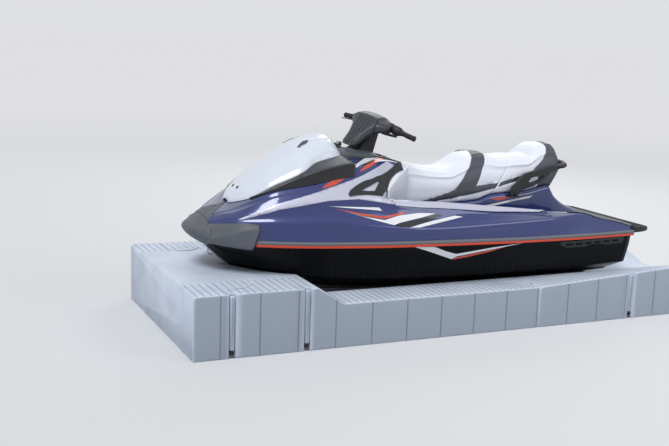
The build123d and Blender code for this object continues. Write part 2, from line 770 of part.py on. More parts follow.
# Grab rail: a tube around the rear seat, on two feet on either side of the pedestal.
grab_radius = 14
grab_y = 244
foot_half = 18
foot_height = 30
feet = (2240, 2306)
foot_top = 652
with BuildPart() as grab_rail:
    upper = [(feet[0], grab_y, foot_top - 10), (2385, grab_y, 784), (2690, grab_y, 846), (2752, 150, 858)]
    lower = [(feet[1], grab_y, foot_top - 10), (2520, grab_y, 762), (2640, grab_y, 838)]
    add(tube([at(*p) for p in upper] + [at(s, -y, h) for s, y, h in reversed(upper)], grab_radius))
    for side in (1, -1):
        add(tube([at(s, side * y, h) for s, y, h in lower], grab_radius))
        inner, outer = sorted((side * (well_inner + skin_gap), side * (grab_y + grab_radius)))
        for foot in feet:
            add(box(foot - foot_half, foot + foot_half, inner, outer, foot_top - foot_height, foot_top))
save(grab_rail.part, "grab_rail")

# Eyes: a plate and a half ring, one under the bow and two on the transom.
eye_radius = 20
eye_wire = 5
eye_plate = (56, 34, 6)
bow_eye_s = 175
stern_eye_y = 330
stern_eye_h = 285


def eye(plane):
    """Towing eye on a plane, with its ring in the plane's own x direction."""
    with BuildPart() as body:
        with BuildSketch(plane):
            Rectangle(eye_plate[0], eye_plate[1])
        extrude(amount=eye_plate[2])
        across_eye = Plane(origin=plane.offset(eye_plate[2]).origin, x_dir=plane.x_dir, z_dir=plane.y_dir)
        with BuildLine(across_eye) as arc:
            CenterArc((0, 0), eye_radius, 0, -180)
        with BuildSketch(Plane(origin=arc.line @ 0, z_dir=arc.line % 0)):
            Circle(eye_wire)
        sweep(path=arc.line)
    return body.part


bow_slope = Vector(*at(240, 0, hull_rows[1][1])) - Vector(*at(100, 0, hull_rows[0][1]))
bow_normal = Vector(-bow_slope.Z, 0, bow_slope.X).normalized()
bow_foot = Vector(*at(bow_eye_s, 0, between(hull_rows, bow_eye_s, 1))) + bow_normal * skin_gap
with BuildPart() as bow_eye:
    add(eye(Plane(origin=bow_foot, x_dir=bow_slope, z_dir=bow_normal)))
save(bow_eye.part, "bow_eye")

with BuildPart() as stern_eyes:
    for side in (1, -1):
        add(eye(Plane(origin=at(transom + skin_gap, side * stern_eye_y, stern_eye_h), x_dir=(0, 0, 1),
                      z_dir=(-1, 0, 0))))
save(stern_eyes.part, "stern_eyes")

# Side louvres: a slotted trim low on each side near the stern.
louvre_start = 2480
louvre_end = 3060
louvre_low = 322
louvre_high = 372
louvre_thickness = 8
louvre_pitch = 84
louvre_slot = (60, 16)
with BuildPart() as side_louvres:
    add(pair(skin([(across(s), [
        (hull_side(s, louvre_low) + skin_gap, louvre_low),
        (hull_side(s, louvre_low) + louvre_thickness, louvre_low),
        (hull_side(s, louvre_high) + louvre_thickness, louvre_high),
        (hull_side(s, louvre_high) + skin_gap, louvre_high),
    ]) for s in (louvre_start, 2650, louvre_end)])))
    for place in range(6):
        middle = louvre_start + 80 + louvre_pitch * place
        add(box(middle - louvre_slot[0] / 2, middle + louvre_slot[0] / 2, -2 * half_port, 2 * half_port,
                louvre_low + 17, louvre_low + 17 + louvre_slot[1]), mode=Mode.SUBTRACT)
save(side_louvres.part, "side_louvres")

# Intake grate: bars along the opening under the hull, on a crosspiece at each end.
grate_bar = 8
grate_start = 2360
grate_low = 34
grate_high = 44
grate_places = (-60, -20, 20, 60)
with BuildPart() as intake_grate:
    for y in grate_places:
        add(box(grate_start, tunnel_start - 1, y - grate_bar / 2, y + grate_bar / 2, grate_low, grate_high))
    for s in (grate_start, tunnel_start - 25):
        add(box(s, s + 16, -ramp_half + skin_gap, ramp_half - skin_gap, grate_low, grate_high))
save(intake_grate.part, "intake_grate")

with BuildPart() as ride_plate:
    add(box(tunnel_start + skin_gap, transom, -tunnel_half + skin_gap, tunnel_half - skin_gap,
            plate_low, plate_low + plate_thickness))
save(ride_plate.part, "ride_plate")

# Jet pump: a round housing with a flange, a cone to the outlet and pins for nozzle and bucket.
bore_radius = 78
pump_start = 2765
pump_end = 3000
outlet_end = 3130
outlet_radius = 50
outlet_bore = 40
flange_half = 128
nozzle_s = 3122
nozzle_pin = 7
bucket_s = 3060
bucket_arm_y = 120
bucket_arm = 6
with BuildPart() as jet_pump:
    add(rod(at(pump_start, 0, pump_h), at(pump_end, 0, pump_h), pump_radius))
    with BuildSketch(across(pump_end)):
        with Locations((0, pump_h)):
            Circle(pump_radius)
    with BuildSketch(across(outlet_end - 40)):
        with Locations((0, pump_h)):
            Circle(outlet_radius)
    loft()
    add(rod(at(outlet_end - 41, 0, pump_h), at(outlet_end, 0, pump_h), outlet_radius))
    add(rod(at(nozzle_s, 0, pump_h - 70), at(nozzle_s, 0, pump_h + 70), nozzle_pin))
    bucket_pin_y = bucket_arm_y + bucket_arm + 5
    add(rod(at(bucket_s, -bucket_pin_y, pump_h), at(bucket_s, bucket_pin_y, pump_h), nozzle_pin))
    add(rod(at(bucket_s, -bucket_arm_y + 2, pump_h), at(bucket_s, bucket_arm_y - 2, pump_h), 2 * nozzle_pin))
    add(rod(at(pump_start - 1, 0, pump_h), at(pump_end, 0, pump_h), bore_radius), mode=Mode.SUBTRACT)
    with BuildSketch(across(pump_end - 1)):
        with Locations((0, pump_h)):
            Circle(bore_radius)
    with BuildSketch(across(outlet_end - 40)):
        with Locations((0, pump_h)):
            Circle(outlet_bore)
    loft(mode=Mode.SUBTRACT)
    add(rod(at(outlet_end - 41, 0, pump_h), at(outlet_end + 1, 0, pump_h), outlet_bore), mode=Mode.SUBTRACT)
save(jet_pump.part, "jet_pump")

# Impeller: shaft, hub and blades, turning in the pump's bore.
tip_gap = 5
hub_radius = 26
blade_count = 3
blade_thickness = 9
blade_width = 60
blade_twist = 35
impeller_s = 2860
with BuildPart() as impeller:
    add(rod(at(bay_end - 59, 0, pump_h), at(impeller_s, 0, pump_h), shaft_radius))
    add(rod(at(impeller_s - blade_width / 2, 0, pump_h),
            at(impeller_s + blade_width / 2, 0, pump_h), hub_radius))
    for place in range(blade_count):
        with BuildSketch(Plane(origin=at(impeller_s, 0, pump_h), x_dir=(1, 0, 0), z_dir=(0, 0, 1))
                         .rotated((360 / blade_count * place, 0, 0))):
            Rectangle(blade_width, blade_thickness, rotation=blade_twist)
        extrude(amount=bore_radius - tip_gap)
save(impeller.part, "impeller")

# Steering nozzle: a tube on upright pins, at rest turned with the bar.
nozzle_radius = 66
nozzle_bore = 60
nozzle_exit_radius = 52
nozzle_exit_bore = 44
nozzle_front = 10
nozzle_length = 112
nozzle_plane = Plane(origin=at(nozzle_s, 0, pump_h), x_dir=(0, 0, 1), z_dir=(-cos(turn), sin(turn), 0))
with BuildPart() as steering_nozzle:
    for entry, exit, mode in (
        (nozzle_radius, nozzle_exit_radius, Mode.ADD), (nozzle_bore, nozzle_exit_bore, Mode.SUBTRACT),
    ):
        with BuildSketch(nozzle_plane.offset(-nozzle_front)):
            Circle(entry)
        with BuildSketch(nozzle_plane.offset(nozzle_length)):
            Circle(exit)
        loft(mode=mode)
    add(rod(at(nozzle_s, 0, pump_h - 80), at(nozzle_s, 0, pump_h + 80), nozzle_pin + bearing_gap),
        mode=Mode.SUBTRACT)
save(steering_nozzle.part, "steering_nozzle")

# Reverse bucket: a curved shield on two arms, stowed above the nozzle.
shield_inner = 188
shield_outer = 196
shield_low = 12
shield_high = 52
shield_rise = [radians(angle) for angle in (shield_low, (shield_low + shield_high) / 2, shield_high)]
shield_out, shield_in = [
    [(r * cos(a), r * sin(a)) for a in shield_rise] for r in (shield_outer, shield_inner)
]
arm_root = 16
with BuildPart() as reverse_bucket:
    for face_y in (bucket_arm_y + bucket_arm, -bucket_arm_y):
        with BuildSketch(Plane(origin=at(bucket_s, face_y, pump_h), x_dir=(-1, 0, 0), z_dir=(0, 1, 0))):
            with BuildLine():
                ThreePointArc(*shield_out)
                Line(shield_out[2], (0, arm_root))
                Line((0, arm_root), (0, -arm_root))
                Line((0, -arm_root), shield_out[0])
            make_face()
            Circle(arm_root)
            Circle(nozzle_pin + bearing_gap, mode=Mode.SUBTRACT)
        extrude(amount=-bucket_arm)
    shield_side = Plane(origin=at(bucket_s, bucket_arm_y + bucket_arm, pump_h), x_dir=(-1, 0, 0),
                        z_dir=(0, 1, 0))
    with BuildSketch(shield_side):
        with BuildLine():
            ThreePointArc(*shield_out)
            ThreePointArc(*shield_in)
            Line(shield_out[0], shield_in[0])
            Line(shield_out[2], shield_in[2])
        make_face()
    extrude(amount=-2 * (bucket_arm_y + bucket_arm))
save(reverse_bucket.part, "reverse_bucket")

# Boarding step: a U-shaped tube on brackets at the transom, stowed under the platform.
step_y = 190
step_arm = 187
step_radius = 11
step_s = 3153
step_pivot_h = 230
step_stowed = 38
step_pin = 6
bracket_thickness = 8
stowed = radians(step_stowed)
step_end = (step_s + step_arm * cos(stowed), step_pivot_h + step_arm * sin(stowed))
with BuildPart() as step_brackets:
    for side in (1, -1):
        for y in (step_y - step_radius - bracket_thickness - 1, step_y + step_radius + 1):
            low, high = sorted((side * y, side * (y + bracket_thickness)))
            add(box(transom + skin_gap, step_s + 16, low, high, step_pivot_h - 22, step_pivot_h + 22))
        low, high = sorted((side * (step_y - step_radius - 1), side * (step_y + step_radius + 1)))
        add(box(transom + skin_gap, transom + 5, low, high, step_pivot_h - 22, step_pivot_h + 22))
        add(rod(at(step_s, low - 2, step_pivot_h), at(step_s, high + 2, step_pivot_h), step_pin))
save(step_brackets.part, "step_brackets")

with BuildPart() as boarding_step:
    add(tube([at(step_s, step_y, step_pivot_h), at(step_end[0], step_y, step_end[1]),
              at(step_end[0], -step_y, step_end[1]), at(step_s, -step_y, step_pivot_h)], step_radius))
    for side in (1, -1):
        low, high = side * step_y - step_radius, side * step_y + step_radius
        add(rod(at(step_s, low, step_pivot_h), at(step_s, high, step_pivot_h), step_radius + 3))
        add(rod(at(step_s, low - 1, step_pivot_h), at(step_s, high + 1, step_pivot_h), step_pin + bearing_gap),
            mode=Mode.SUBTRACT)
save(boarding_step.part, "boarding_step")
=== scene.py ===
import math

import bmesh
import bpy
import numpy as np
from mathutils import Matrix, Vector
from mathutils.bvhtree import BVHTree


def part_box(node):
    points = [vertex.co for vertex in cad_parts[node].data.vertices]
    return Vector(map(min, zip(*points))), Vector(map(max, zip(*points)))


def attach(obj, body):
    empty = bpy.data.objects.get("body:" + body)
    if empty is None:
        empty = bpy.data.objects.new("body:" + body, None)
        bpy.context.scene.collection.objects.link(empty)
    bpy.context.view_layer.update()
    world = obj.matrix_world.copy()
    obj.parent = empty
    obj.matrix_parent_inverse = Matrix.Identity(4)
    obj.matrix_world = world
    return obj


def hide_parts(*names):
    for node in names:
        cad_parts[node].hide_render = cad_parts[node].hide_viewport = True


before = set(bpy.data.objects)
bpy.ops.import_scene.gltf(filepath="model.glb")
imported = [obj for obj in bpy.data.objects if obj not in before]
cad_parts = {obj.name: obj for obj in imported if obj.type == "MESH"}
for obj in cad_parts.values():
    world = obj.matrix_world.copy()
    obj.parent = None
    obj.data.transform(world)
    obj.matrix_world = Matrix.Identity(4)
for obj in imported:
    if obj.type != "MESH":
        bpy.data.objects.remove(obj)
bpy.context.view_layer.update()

# Port modules: two hollow mouldings that the craft is driven onto, held together at the seam.
# They are rotationally moulded polyethylene, pale blue grey, with ribs across the top for grip,
# grooves down the sides, and slots for the pins that join them to their neighbours.
port_half, port_long = 760, 3960
block_top, rail_top, stern_top = 385, 275, 370
block_end, slope_end, seam = 765, 942, 2360
channel_flat, channel_mouth, channel_floor = 100, 470, 150
slot_places, slot_wide, slot_deep = (235, 705, 3115), 44, 30
edge_round = 16
# The craft's nose is 165 mm behind the port's front end, and its keel's zero 150 mm above the floor.
# The pocket that takes the bow clears the hull by 14 mm and ends 60 mm behind the block.
bow_at, keel_at, pocket_room, pocket_end = 165, 150, 14, block_end + 60

# Craft's half breadth at the flange: distance behind the nose, y
breadth_rows = [(0, 95), (100, 205), (240, 335), (480, 450), (780, 522), (1250, 577), (2000, 594),
                (2650, 560), (3130, 500), (3350, 470)]
# Its hull: distance behind the nose, keel height, chine y, chine height
hull_rows = [(100, 395, 70, 410), (240, 270, 170, 340), (480, 125, 330, 262), (780, 45, 435, 220),
             (1250, 5, 480, 190), (2000, 0, 490, 175), (2650, 0, 475, 175), (3130, 0, 440, 175)]


def linear(hex_colour):
    """Colour written as sRGB hex, in linear light."""
    parts = [int(hex_colour[i:i + 2], 16) / 255 for i in (1, 3, 5)]
    return [p / 12.92 if p <= 0.04045 else ((p + 0.055) / 1.055) ** 2.4 for p in parts] + [1.0]


def node(tree, kind, inputs=None, **settings):
    """Add one node with its settings; an input is a number, a colour or another node's output."""
    made = tree.nodes.new(kind)
    for key, value in settings.items():
        setattr(made, key, value)
    for key, value in (inputs or {}).items():
        if isinstance(value, bpy.types.NodeSocket):
            tree.links.new(value, made.inputs[key])
        else:
            made.inputs[key].default_value = value
    return made


def finish(name, colour, **sockets):
    """Start a material on the standard shader with its own values; returns it, its tree and shader."""
    made = bpy.data.materials.new(name)
    made.use_nodes = True
    shader = made.node_tree.nodes["Principled BSDF"]
    shader.inputs["Base Color"].default_value = linear(colour)
    for socket, value in sockets.items():
        shader.inputs[socket.replace("_", " ")].default_value = value
    return made, made.node_tree, shader


def curve_through(xs, ys, x):
    """Smooth curve through points, without overshoot, read at x."""
    xs, ys, x = np.asarray(xs, float), np.asarray(ys, float), np.asarray(x, float)
    slope = np.diff(ys) / np.diff(xs)
    tangent = np.concatenate([slope[:1], np.zeros(len(xs) - 2), slope[-1:]])
    for i in range(1, len(xs) - 1):
        if slope[i - 1] * slope[i] > 0:
            tangent[i] = 2 * slope[i - 1] * slope[i] / (slope[i - 1] + slope[i])
    i = np.clip(np.searchsorted(xs, x) - 1, 0, len(xs) - 2)
    wide = xs[i + 1] - xs[i]
    t = np.clip((x - xs[i]) / wide, 0, 1)
    return (ys[i] * (1 + 2 * t) * (1 - t) ** 2 + tangent[i] * wide * t * (1 - t) ** 2
            + ys[i + 1] * t * t * (3 - 2 * t) + tangent[i + 1] * wide * t * t * (t - 1))


def row_value(rows, s, column):
    """One column of a table at s, smooth between its rows."""
    return float(curve_through([r[0] for r in rows], [r[column] for r in rows], s))


def breadth(s):
    """Half breadth at the flange."""
    return row_value(breadth_rows, s, 1)


def bond(s):
    """Height of the flange where hull and deck meet."""
    return 452 - 57 * s / 3350


nose_x, keel_z = 1.815, 0.1503


def at(s, y, h):
    """Point from millimetres behind the nose, to port and above the keel."""
    return Vector((nose_x - s / 1000, y / 1000, keel_z + h / 1000))


def soften(points, radii, arc=4, flat=3, crowns=None):
    """Outline with its inner corners rounded and its runs crowned, of the same count for any shape."""
    points = np.asarray(points, float)
    runs = np.diff(points, axis=0)
    lengths = np.maximum(np.linalg.norm(runs, axis=1), 1e-9)
    ways = runs / lengths[:, None]
    inner = range(1, len(points) - 1)
    cut = [0.0] + [min(radii[i], 0.48 * lengths[i - 1], 0.48 * lengths[i]) for i in inner] + [0.0]
    out = []
    for i in range(len(runs)):
        start, end = points[i] + ways[i] * cut[i], points[i + 1] - ways[i] * cut[i + 1]
        side = np.array([ways[i][1], -ways[i][0]])
        for t in np.linspace(0, 1, flat + 1):
            bulge = (crowns[i] if crowns else 0) * 4 * t * (1 - t)
            out.append(start + (end - start) * t + side * bulge)
        if i < len(runs) - 1:
            begin, corner, stop = end, points[i + 1], points[i + 1] + ways[i + 1] * cut[i + 1]
            for t in np.linspace(0, 1, arc + 1)[1:-1]:
                out.append(begin * (1 - t) ** 2 + corner * 2 * t * (1 - t) + stop * t * t)
    return np.array(out)


def mesh_of(name, points, faces, material=None):
    """Mesh object from points and faces, smooth shaded."""
    mesh = bpy.data.meshes.new(name)
    mesh.from_pydata([tuple(p) for p in points], [], faces)
    mesh.validate()
    shell = bmesh.new()
    shell.from_mesh(mesh)
    bmesh.ops.recalc_face_normals(shell, faces=shell.faces)
    shell.to_mesh(mesh)
    shell.free()
    mesh.shade_smooth()
    made = bpy.data.objects.new(name, mesh)
    bpy.context.scene.collection.objects.link(made)
    if material:
        mesh.materials.append(material)
    return made


def loft(name, sections, material=None, closed=True, caps=True, skip=None):
    """Skin through sections of as many points each; closed joins each section's ends."""
    count, wide = len(sections), len(sections[0])
    points = [p for section in sections for p in section]
    faces = []
    for i in range(count - 1):
        for j in range(wide if closed else wide - 1):
            k = (j + 1) % wide
            if skip and skip(i, j):
                continue
            faces.append((i * wide + j, i * wide + k, (i + 1) * wide + k, (i + 1) * wide + j))
    if caps:
        faces.append(tuple(range(wide)))
        faces.append(tuple(range((count - 1) * wide, count * wide)))
    return mesh_of(name, points, faces, material)


def fit(piece, body, *nodes, slot=None):
    """Mount a piece: it rides on its body and stands for its nodes."""
    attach(piece, body)
    if nodes:
        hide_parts(*nodes)
    return piece


ROOT = "craft_and_port"


def port_height(behind):
    """Height of the port's top this far behind its front end."""
    if behind <= seam:
        return float(np.interp(behind, [0, block_end, slope_end, seam],
                               [block_top, block_top, rail_top, rail_top]))
    return float(np.interp(behind, [seam, port_long], [rail_top, stern_top]))


def port_section(behind, inset):
    """Port side half of the port's section, from the bottom's middle round to the channel's middle."""
    top, side = port_height(behind), port_half - inset
    s = behind - bow_at
    mouth, mouth_h, low_y, low = channel_mouth, min(top, rail_top), channel_flat, channel_floor
    middle = low
    if behind < slope_end:
        mouth, mouth_h, low_y, low, middle = 60, top, 30, top, top
        keel, chine_y, chine_h = (row_value(hull_rows, s, c) for c in (1, 2, 3))
        keel, chine_h = keel_at + keel - pocket_room, keel_at + chine_h - pocket_room
        if s > 100 and keel < top - 4:
            if chine_h < top:
                side_run = (top - chine_h) / (keel_at + bond(s) - chine_h)
                mouth = chine_y + pocket_room + (breadth(s) - chine_y) * side_run
                low_y, low = chine_y + pocket_room, chine_h
            else:
                mouth = (chine_y + pocket_room) * (top - keel) / (chine_h - keel)
                low_y, low = mouth * 0.5, (top + keel) / 2
            # The pocket opens out into the channel down the slope
            blend = max(0, behind - pocket_end) / (slope_end - pocket_end)
            mouth += (channel_mouth - mouth) * blend
            low_y += (channel_flat - low_y) * blend
            low += (channel_floor - low) * blend
            middle = max(channel_floor, keel)
            middle += (channel_floor - middle) * blend
            low = max(low, middle)
    return soften([(0, 0), (side, 0), (side, top), (mouth, mouth_h), (low_y, low), (0, middle)],
                  (0, 12, 16, 10, 30, 0), arc=4, flat=2)


def port_module(name, first, last, material):
    """One module, with its slots cut into both sides."""
    cuts = list(np.arange(first, last, 55.0)) + [last]
    bends = (block_end, block_end + 30, slope_end - 30, slope_end)
    rims = (first + 5, first + edge_round, last - 5, last - edge_round)
    cuts += [b for b in bends + rims if first < b < last]
    edges = []
    for place in slot_places:
        if first < place < last:
            edges += [(place - slot_wide / 2 - 1, 0), (place - slot_wide / 2 + 1, slot_deep),
                      (place + slot_wide / 2 - 1, slot_deep), (place + slot_wide / 2 + 1, 0)]
    cuts = [(b, 0) for b in cuts if not any(abs(b - e[0]) < 30 for e in edges)] + edges
    sections = []
    for behind, inset in sorted(cuts):
        end = min(behind - first, last - behind)
        round_off = max(0, edge_round - end) * 0.6
        half = port_section(behind, inset + round_off)
        if round_off:
            half[:, 1] = np.where(half[:, 1] > 1, np.maximum(half[:, 1] - round_off, 1), half[:, 1])
        full = [(y, h) for y, h in half] + [(-y, h) for y, h in reversed(half[1:-1])]
        sections.append([((port_long / 2 - behind) / 1000, y / 1000, h / 1000) for y, h in full])
    return loft(name, sections, material)


# Rotomoulded polyethylene is waxy and half matt, with a fine orange peel of about 2.4 mm from the
# mould and faint water stains a third of a metre wide. Its ribs are 44 mm apart across the top, with
# grooves 5 mm wide, and its side grooves 243 mm apart. The noise scales count patches per metre.
polyethylene, tree, shader = finish("rotomoulded_polyethylene", "#c4cedd", Roughness=0.52)
where = node(tree, "ShaderNodeTexCoord").outputs["Object"]
xyz = node(tree, "ShaderNodeSeparateXYZ", {0: where}).outputs
outward = node(tree, "ShaderNodeNewGeometry").outputs["Normal"]
facing = node(tree, "ShaderNodeSeparateXYZ", {0: outward}).outputs
level = node(tree, "ShaderNodeMapRange", {0: facing[2], 1: 0.6, 2: 0.95}).outputs[0]
sideways = node(tree, "ShaderNodeMath", {0: facing[1]}, operation="ABSOLUTE").outputs[0]
upright = node(tree, "ShaderNodeMapRange", {0: sideways, 1: 0.7, 2: 0.95}).outputs[0]
pitches = []
for pitch, groove, mask in ((0.044, 0.06, level), (0.2425, 0.014, upright)):
    ribs_passed = node(tree, "ShaderNodeMath", {0: xyz[0], 1: pitch}, operation="DIVIDE").outputs[0]
    part = node(tree, "ShaderNodeMath", {0: ribs_passed}, operation="FRACT").outputs[0]
    near = node(tree, "ShaderNodeMath", {0: part, 1: 0.5}, operation="SUBTRACT").outputs[0]
    near = node(tree, "ShaderNodeMath", {0: near}, operation="ABSOLUTE").outputs[0]
    line = node(tree, "ShaderNodeMapRange", {0: near, 1: 0.0, 2: groove * 2, 3: 1.0, 4: 0.0}).outputs[0]
    pitches.append(node(tree, "ShaderNodeMath", {0: line, 1: mask}, operation="MULTIPLY").outputs[0])
from_middle = node(tree, "ShaderNodeMath", {0: xyz[1]}, operation="ABSOLUTE").outputs[0]
on_rails = node(tree, "ShaderNodeMath", {0: from_middle, 1: 0.475}, operation="GREATER_THAN").outputs[0]
ribs = node(tree, "ShaderNodeMath", {0: pitches[0], 1: on_rails}, operation="MULTIPLY").outputs[0]
grooves = node(tree, "ShaderNodeMath", {0: ribs, 1: pitches[1]}, operation="MAXIMUM").outputs[0]
stain = node(tree, "ShaderNodeTexNoise", {"Vector": where, "Scale": 3.0, "Detail": 6.0,
                                          "Roughness": 0.6}).outputs[0]
grain = node(tree, "ShaderNodeTexNoise", {"Vector": where, "Scale": 420.0, "Detail": 3.0}).outputs[0]
stained = node(tree, "ShaderNodeMapRange", {0: stain, 1: 0.35, 2: 0.7}).outputs[0]
shade = node(tree, "ShaderNodeMix", {"Factor": stained, 6: linear("#d3ddee"), 7: linear("#bdc8da")},
             data_type="RGBA").outputs[2]
# Painted shade: faces that stand upright are coloured a darker grey than the top.
sides = node(tree, "ShaderNodeMix", {"Factor": upright, 6: shade, 7: linear("#9ba6b5")},
             data_type="RGBA").outputs[2]
# Painted shade: the rib grooves on the rails and the side grooves are darkened towards #66707d.
groove_shade = node(tree, "ShaderNodeMath", {0: grooves, 1: 0.75}, operation="MULTIPLY").outputs[0]
dark = node(tree, "ShaderNodeMix", {"Factor": groove_shade, 6: sides, 7: linear("#66707d")},
            data_type="RGBA").outputs[2]
tree.links.new(dark, shader.inputs["Base Color"])
height = node(tree, "ShaderNodeMath", {0: grooves, 1: -1.0, 2: 0.0}, operation="MULTIPLY_ADD").outputs[0]
press = node(tree, "ShaderNodeBump", {"Height": height, "Distance": 0.003, "Strength": 1.0}).outputs[0]
press = node(tree, "ShaderNodeBump", {"Height": grain, "Distance": 0.0004, "Strength": 0.5,
                                      "Normal": press}).outputs[0]
tree.links.new(press, shader.inputs["Normal"])

fit(port_module("port_front_moulding", 0, seam - 2, polyethylene), ROOT, "port_front", slot="port_shell")
fit(port_module("port_rear_moulding", seam + 2, port_long, polyethylene), ROOT, "port_rear",
    slot="port_shell")

# Hatches: two round covers screwed into the front module's top, over the openings to its inside.
# They are moulded from the same polyethylene, with a groove round the rim for the fingers.
hatch_x, hatch_y, turns = 1.675, 0.548, 64
# Radius and height above the block's top
hatch_shape = [(0, 6.2), (60, 6.2), (92, 6.2), (96, 4.4), (101, 4.4), (104, 6.2), (107.5, 5.2), (107.5, 0.2)]
for side in (1, -1):
    points, faces = [], []
    for k in range(turns):
        angle = 2 * math.pi * k / turns
        for r, lift in hatch_shape:
            points.append((hatch_x + r * math.cos(angle) / 1000, side * hatch_y + r * math.sin(angle) / 1000,
                           (block_top + lift) / 1000))
    for k in range(turns):
        for j in range(len(hatch_shape) - 1):
            a, b = k * len(hatch_shape) + j, (k + 1) % turns * len(hatch_shape) + j
            faces.append((a, a + 1, b + 1, b))
    hatch = mesh_of(f"hatch_cover_{'left' if side > 0 else 'right'}", points, faces, polyethylene)
    fit(hatch, ROOT, "port_hatches", slot="port_shell")

# Connecting pins: round polyethylene shafts that stand in the slots and would join the port to its
# neighbours, each on a foot of black moulded rubber.


def pressed(tree, shader, scale, detail, depth, strength):
    """Press a mould's grain into a finish: patches per metre, depth in metres. Gives where and the grain."""
    where = node(tree, "ShaderNodeTexCoord").outputs["Object"]
    grain = node(tree, "ShaderNodeTexNoise", {"Vector": where, "Scale": scale, "Detail": detail}).outputs[0]
    press = node(tree, "ShaderNodeBump", {"Height": grain, "Distance": depth,
                                          "Strength": strength}).outputs[0]
    tree.links.new(press, shader.inputs["Normal"])
    return where, grain


# Moulded rubber drinks in light: near black and matt. Its real skin of 0.2 mm is drawn as 1.7 mm.
rubber, tree, shader = finish("moulded_rubber", "#17181a", Roughness=0.62)
pressed(tree, shader, 600.0, 3.0, 0.0003, 0.6)


def turned(name, start, end, outline, material, turns=32):
    """Round piece about the line from start to end; outline gives millimetres along it and radius."""
    start, end = Vector(start), Vector(end)
    way = (end - start).normalized()
    across = way.orthogonal().normalized()
    third = way.cross(across)
    points, faces = [], []
    for k in range(turns):
        angle = 2 * math.pi * k / turns
        out = across * math.cos(angle) + third * math.sin(angle)
        points += [start + way * (along / 1000) + out * (r / 1000) for along, r in outline]
    n = len(outline)
    for k in range(turns):
        for j in range(n - 1):
            a, b = k * n + j, (k + 1) % turns * n + j
            faces.append((a, a + 1, b + 1, b))
    faces += [tuple(k * n for k in range(turns)), tuple(k * n + n - 1 for k in range(turns))]
    return mesh_of(name, points, faces, material)


def joined(name, pieces):
    """One object from several."""
    bpy.ops.object.select_all(action="DESELECT")
    for piece in pieces:
        piece.select_set(True)
    bpy.context.view_layer.objects.active = pieces[0]
    if len(pieces) > 1:
        bpy.ops.object.join()
    pieces[0].name = name
    return pieces[0]


pins = []
for behind in slot_places:
    for side in (1, -1):
        top = port_height(behind)
        foot = Vector((port_long / 2 - behind, side * (port_half - slot_deep / 2), 20)) / 1000
        tip = foot + Vector((0, 0, 1))
        shaft_shape = [(10, 14), (top - 46, 14), (top - 36, 12), (top - 33, 8)]
        pins.append(turned("pin_shaft", foot, tip, shaft_shape, polyethylene))
        pins.append(turned("pin_foot", foot, tip, [(0, 14), (1, 15), (26, 15), (30, 13)], rubber))
fit(joined("connecting_pins", pins), ROOT, "port_pins", slot="port_black")

# Link plates: flat polyethylene plates over the seam, one on each rail, that hold the two modules
# level with each other. Their edges are rounded, and they stand 2.6 mm proud of the rail.
link_x, link_y, link_corner = -0.380, 0.620, 12
reach_x, reach_y = 150 / 2 - link_corner, 70 / 2 - link_corner
# Distance in from the edge, and height above the rail
link_edge = [(0, -8.0), (0, 1.2), (1.4, 2.4), (3, 2.6)]
links = []
for side in (1, -1):
    rings = []
    for inset, lift in link_edge:
        ring = []
        for cx, cy, first in ((reach_x, reach_y, 0), (-reach_x, reach_y, 90), (-reach_x, -reach_y, 180),
                              (reach_x, -reach_y, 270)):
            for step in range(5):
                angle, r = math.radians(first + step * 22.5), link_corner - inset
                ring.append((link_x + (cx + r * math.cos(angle)) / 1000,
                             side * link_y + (cy + r * math.sin(angle)) / 1000, (rail_top + lift) / 1000))
        rings.append(ring)
    links.append(loft("link_plate", rings, polyethylene))
fit(joined("link_plates", links), ROOT, "port_links", slot="port_black")

# Lower hull: moulded fibreglass with a black gelcoat, polished from its mould, with a keel, two
# strakes and a hard chine on either side.
# Black gelcoat is a deep mirror that shows the laminate's slow waves, 140 mm long, and a thin film
# of water marks about 25 mm wide that dulls it in patches.
black_gelcoat, tree, shader = finish("black_gelcoat", "#020203", Roughness=0.12, IOR=1.3,
                                     Specular_IOR_Level=0.3)
where = node(tree, "ShaderNodeTexCoord").outputs["Object"]
wave = node(tree, "ShaderNodeTexNoise", {"Vector": where, "Scale": 7.0, "Detail": 2.0}).outputs[0]
film = node(tree, "ShaderNodeTexNoise", {"Vector": where, "Scale": 40.0, "Detail": 4.0}).outputs[0]
press = node(tree, "ShaderNodeBump", {"Height": wave, "Distance": 0.002, "Strength": 0.12}).outputs[0]
tree.links.new(press, shader.inputs["Normal"])
dulled = node(tree, "ShaderNodeMapRange", {0: film, 1: 0.3, 2: 0.8, 3: 0.12, 4: 0.26}).outputs[0]
tree.links.new(dulled, shader.inputs["Roughness"])


def whole(half):
    """Both sides of an outline given from the middle round to the flange or the middle again."""
    return [(y, h) for y, h in half] + [(-y, h) for y, h in reversed(half) if y > 0.01]


def stations(rows, step):
    """Distances from the first row to the last, close enough for smooth light."""
    marks = {float(r[0]) for r in rows}
    between = {float(v) for v in np.arange(rows[0][0], rows[-1][0], step)}
    return sorted(marks | {v for v in between if all(abs(v - m) > step / 3 for m in marks)})


def hull_section(s):
    """Hull's section at s: keel, strake, chine and side up to the flange."""
    keel, chine_y, chine_h = (row_value(hull_rows, s, c) for c in (1, 2, 3))
    strake_y = chine_y * 0.55
    strake_h = keel + (chine_h - keel) * 0.47
    step = min(12, max(0, (s - 300) / 40))
    half = soften([(0, keel), (strake_y - step * 1.4, strake_h - step * 0.8),
                   (strake_y, strake_h + step * 0.4), (chine_y, chine_h - 2),
                   (chine_y + 3, chine_h + 10), (breadth(s) - 6, bond(s) - 24), (breadth(s) - 3, bond(s))],
                  (0, 3, 6, 5, 8, 6, 0), arc=4, flat=3, crowns=[0, 0, 0, 0, 5, 0])
    return [at(s, y, h) for y, h in whole(half)]


hull = loft("hull_moulding", [hull_section(s) for s in stations(hull_rows, 40)], black_gelcoat)
fit(hull, ROOT, "hull_lower", slot="gelcoat_black")

